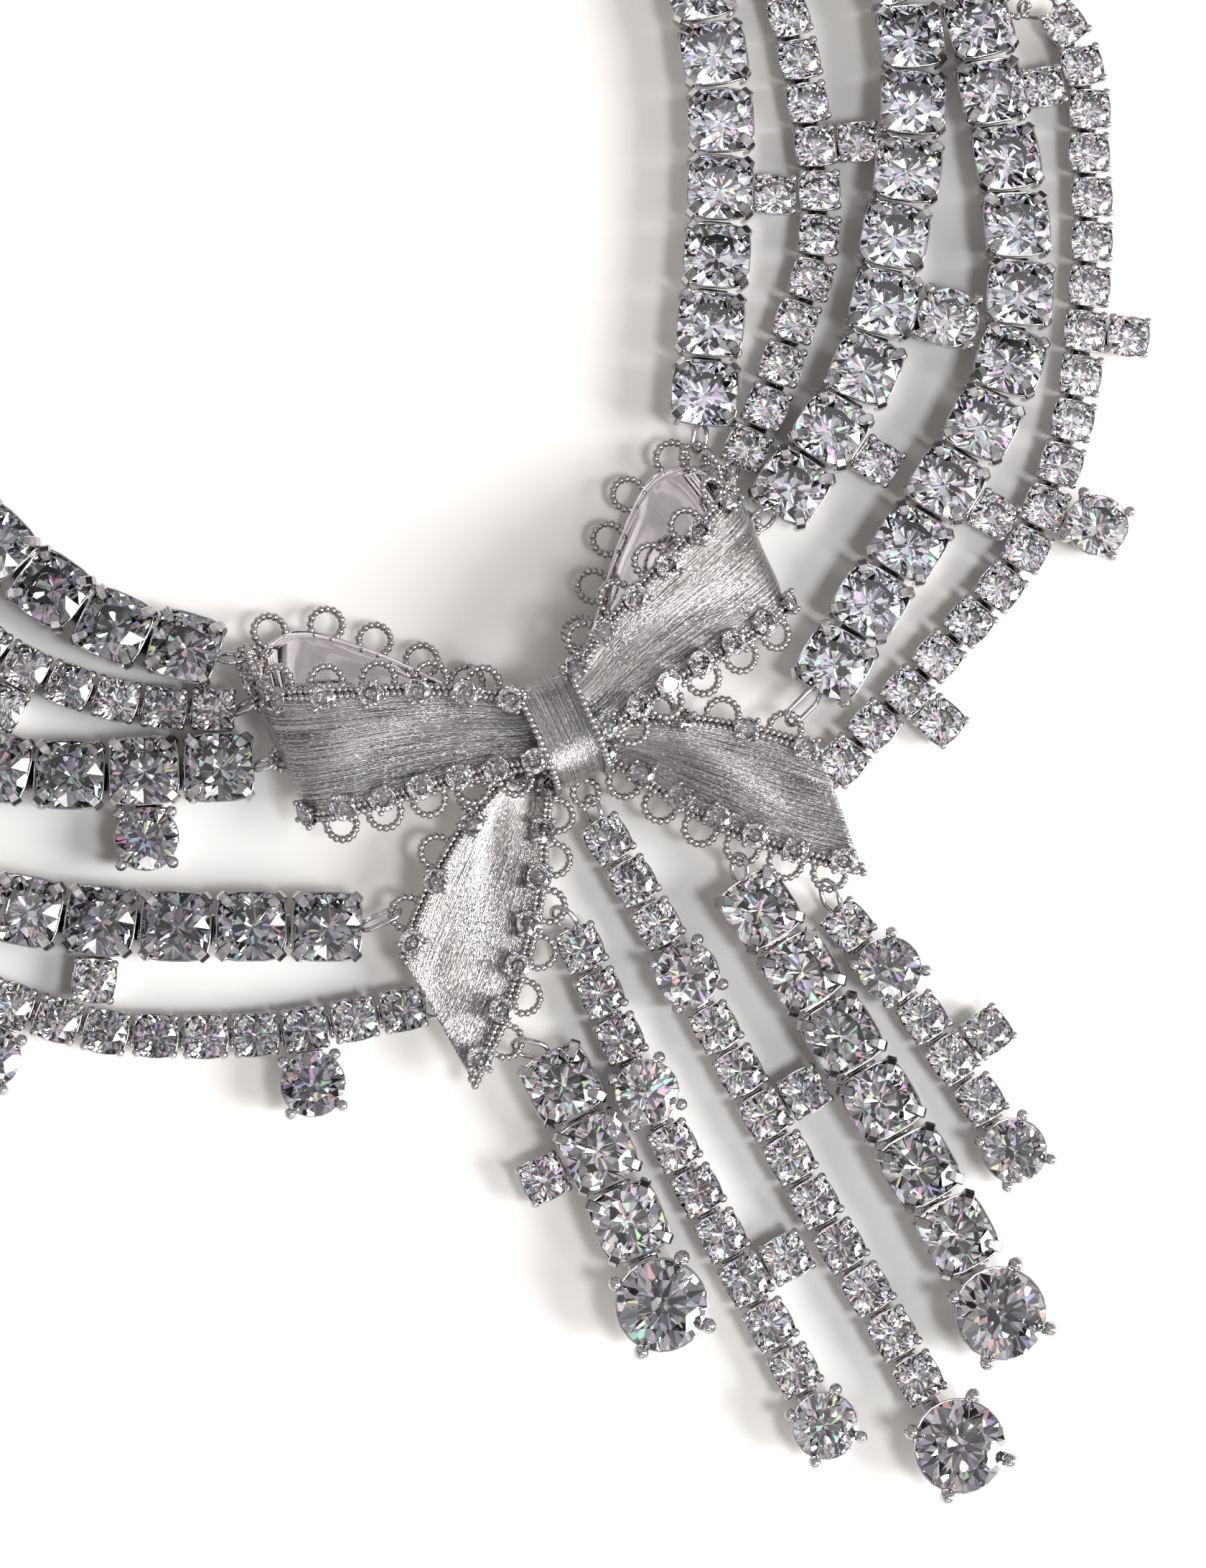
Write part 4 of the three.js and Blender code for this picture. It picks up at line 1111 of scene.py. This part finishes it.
def build_knot():
    """The band round the stacked ribbons, satin with beaded borders, and the eye under it."""
    outer = rounded_box_path(
        KNOT["south"], KNOT["north"], KNOT["bottom"], KNOT["top"], KNOT["round"], 12)
    outer = np.vstack([outer, outer[:1]])
    lengths = lengths_along(outer)
    even = np.linspace(0, lengths[-1], 97)[:-1]
    outer = np.array([spot_along(outer, lengths, d) for d in even])
    ahead = np.roll(outer, -1, 0) - np.roll(outer, 1, 0)
    lanes, half, wall = 12, KNOT["width"] / 2, 0.8
    points, lies = [], []
    for spot, run, along in zip(outer, ahead, even):
        inward = unit(np.cross(run, (1, 0, 0))) * -1
        ring = [(half * (2 * k / lanes - 1), 0.0) for k in range(lanes + 1)]
        ring = [(x, 0.35 * (x / half) ** 2) for x, _ in ring] + [(half, wall), (-half, wall)]
        for x, depth in ring:
            points.append(spot + inward * depth + (x, 0, 0))
            lies.append((along, 3 + 2.4 * x))
    around = lanes + 3
    faces = skin(len(outer), around, closed=True)
    finishes = [0 if k < lanes else 1 for k in range(around)] * len(outer)
    band = Pile()
    band.add(Shape(np.array(points), faces, True), finish=finishes, lie=np.array(lies))
    closed = np.vstack([outer, outer[:1]])
    closed[:, 2] = np.maximum(closed[:, 2], BEAD * 1.1)
    for side in (-1, 1):
        string_beads(band, closed + (side * (half + 0.05), 0, 0), finish=2)
    wall_point, _ = end_wall("fringe_3")
    path, _, hole = eye_towards(np.array([0, -KNOT["south"], KNOT["eye"]]), wall_point)
    string_beads(band, path, finish=2)
    rings["fringe_3"].append(jump_ring(hole, wall_point))
    band.piece("bow_knot_band", [KNOT_SATIN, MIRROR, BEADED], "satin_silver", ["bow_knot"])


def build_clasp():
    """A plain box clasp with a parting line, and an eye at each end."""
    half_x, half_y = CLASP["length"] / 2, CLASP["width"] / 2
    body = Pile()
    sides = 40
    profile = [
        (0.90, 0.0), (0.97, 0.25), (1.0, 0.7), (1.0, 1.85), (0.975, 1.95), (0.975, 2.1), (1.0, 2.2),
        (1.0, 3.3), (0.96, 3.8), (0.88, 4.0),
    ]
    points = []
    for share, height in profile:
        inset = (1 - share) * half_y
        for k in range(sides):
            turn = 2 * pi * (k + 0.5) / sides
            c, s = cos(turn), sin(turn)
            x = math.copysign(abs(c) ** 0.35, c) * (half_x - inset)
            y = math.copysign(abs(s) ** 0.35, s) * (half_y - inset)
            points.append((x, y + CLASP["y"], height))
    body.add(Shape(np.array(points), closed_wall(len(profile), sides), True))
    for side, name in ((-1, "row_1_left"), (1, "row_1_right")):
        root = np.array([side * half_x, CLASP["y"], CLASP["eye"]])
        outward = np.array([side, 0, 0.0])
        path, _, hole = loop_path(root, outward, left_of(outward), EYE_RADIUS, EYE_REACH)
        body.add(tube(path, WIRE, 8))
        wall, _ = end_wall(name, NAPE)
        rings[name].append(jump_ring(hole, wall))
    body.piece("clasp_box", [POLISHED], "polished_silver", ["clasp"])


build_loop("left", -1)
build_loop("right", 1)
build_tail("left", -1, ["fringe_1", "fringe_2"])
build_tail("right", 1, ["fringe_4", "fringe_5"])
build_knot()
build_clasp()
for row_name in ROWS:
    if not row_name.startswith("row_1"):
        join_to_host(row_name)
for row_name in ROWS + FRINGE:
    build_row(row_name)


# The table, the light and the camera.
def in_picture(right, up, high):
    """A place from the aim point, right and up as the picture shows them, in the frame."""
    c, s = cos(PHOTO_TURN), sin(PHOTO_TURN)
    x = PHOTO_AIM[0] + right * c + up * s
    y = PHOTO_AIM[1] - right * s + up * c
    return Vector(np.array([x, y, high]) * MM + ORIGIN)


def build_table():
    finish, tree, shader = new_finish("pale_table")
    place = tree.nodes.new("ShaderNodeTexCoord").outputs["Object"]
    mottle = noise(tree, place, 6.0, 3.0)
    cream, white = (0.90, 0.895, 0.885, 1), (0.93, 0.93, 0.925, 1)
    colour = mix_colour(tree, mottle, cream, white)
    feed(tree, colour, shader.inputs["Base Color"])
    shader.inputs["Roughness"].default_value = 0.6
    shader.inputs["Specular IOR Level"].default_value = 0.2
    mesh = bpy.data.meshes.new("table")
    reach = 3.0
    corners = [(-reach, -reach, 0), (reach, -reach, 0), (reach, reach, 0), (-reach, reach, 0)]
    mesh.from_pydata(corners, [], [(0, 1, 2, 3)])
    mesh.materials.append(finish)
    table = new_object("table", mesh)
    table.location.z = -0.0001


def add_light(name, kind, at, power):
    """A light that faces the middle of the picture from a place in it."""
    light = bpy.data.lights.new(name, kind)
    light.energy = power
    lamp = new_object(name, light)
    lamp.location = in_picture(*at)
    aim = in_picture(0, 0, 0) - lamp.location
    lamp.rotation_euler = aim.to_track_quat("-Z", "Y").to_euler()
    return light


def build_lights():
    """The broad soft light from the picture's right, and a few soft panels for the satin."""
    sun = add_light("key_sun", "SUN", SUN_AT, SUN_POWER)
    sun.angle = SUN_SPREAD
    sun.color = (1.0, 0.99, 0.98)
    for name, (at, size, power) in PANELS.items():
        panel = add_light(name, "AREA", at, power)
        panel.shape = "RECTANGLE"
        panel.size, panel.size_y = size


def build_world():
    """Dark walls and pale cards for shine, small rainbow glints for the rays inside a stone, and
    a low fill all round for matt surfaces."""
    world = bpy.data.worlds.new("studio")
    world.use_nodes = True
    bpy.context.scene.world = world
    tree = world.node_tree
    background = tree.nodes["Background"]
    direction = tree.nodes.new("ShaderNodeTexCoord").outputs["Generated"]
    height = tree.nodes.new("ShaderNodeSeparateXYZ")
    feed(tree, direction, height.inputs[0])
    overhead = ramp(tree, height.outputs["Z"], 0.90, 0.98, 0.0, 0.8)
    card = ramp(tree, noise(tree, direction, 2.3, 1.0), 0.50, 0.57)
    small = ramp(tree, noise(tree, direction, 7.0, 1.0), 0.51, 0.56)
    both = math_node(tree, "MULTIPLY_ADD", small, 0.65, math_node(tree, "MULTIPLY", card, 0.35))
    studio = mix_colour(tree, both, (0.035, 0.032, 0.034, 1), (1.4, 1.36, 1.42, 1))
    path = tree.nodes.new("ShaderNodeLightPath")
    through_stone = path.outputs["Is Transmission Ray"]
    above = mix_colour(tree, through_stone, (0.50, 0.49, 0.50, 1), (0.03, 0.03, 0.035, 1))
    studio = mix_colour(tree, overhead, studio, above)
    glint = ramp(tree, noise(tree, direction, 16.0, 0.0), 0.67, 0.71)
    glint = math_node(tree, "MULTIPLY", glint, through_stone)
    rainbow = tree.nodes.new("ShaderNodeCombineColor")
    rainbow.mode = "HSV"
    hue = math_node(tree, "MULTIPLY", noise(tree, direction, 6.0, 0.0), 6.0)
    for value, socket in zip((math_node(tree, "FRACT", hue), 0.5, 1.7), rainbow.inputs):
        feed(tree, value, socket)
    studio = mix_colour(tree, glint, studio, rainbow.outputs[0])
    low = ramp(tree, height.outputs["Z"], 0.36, 0.56, 1.0, 0.0)
    fill = mix_colour(tree, low, (0.10, 0.092, 0.085, 1), (2.2, 2.09, 1.98, 1))
    even = mix_colour(tree, path.outputs["Is Diffuse Ray"], studio, fill)
    even = mix_colour(tree, path.outputs["Is Camera Ray"], even, (0.94, 0.94, 0.95, 1))
    feed(tree, even, background.inputs["Color"])
    background.inputs["Strength"].default_value = 1.0


def add_camera():
    camera = bpy.data.cameras.new("camera")
    camera.lens = LENS
    camera.clip_start = 0.01
    seen = new_object("camera", camera)
    turn = Matrix.Rotation(-PHOTO_TURN, 4, "Z") @ Matrix.Rotation(-CAMERA_SIDE_TILT, 4, "Y")
    turn = turn @ Matrix.Rotation(CAMERA_TILT, 4, "X")
    away = turn @ Vector((0, 0, CAMERA_DISTANCE * MM))
    seen.matrix_world = Matrix.Translation(in_picture(0, 0, 0) + away) @ turn
    bpy.context.scene.camera = seen


build_table()
build_world()
build_lights()
add_camera()
bpy.context.scene.view_settings.view_transform = "Standard"

bpy.context.view_layer.update()
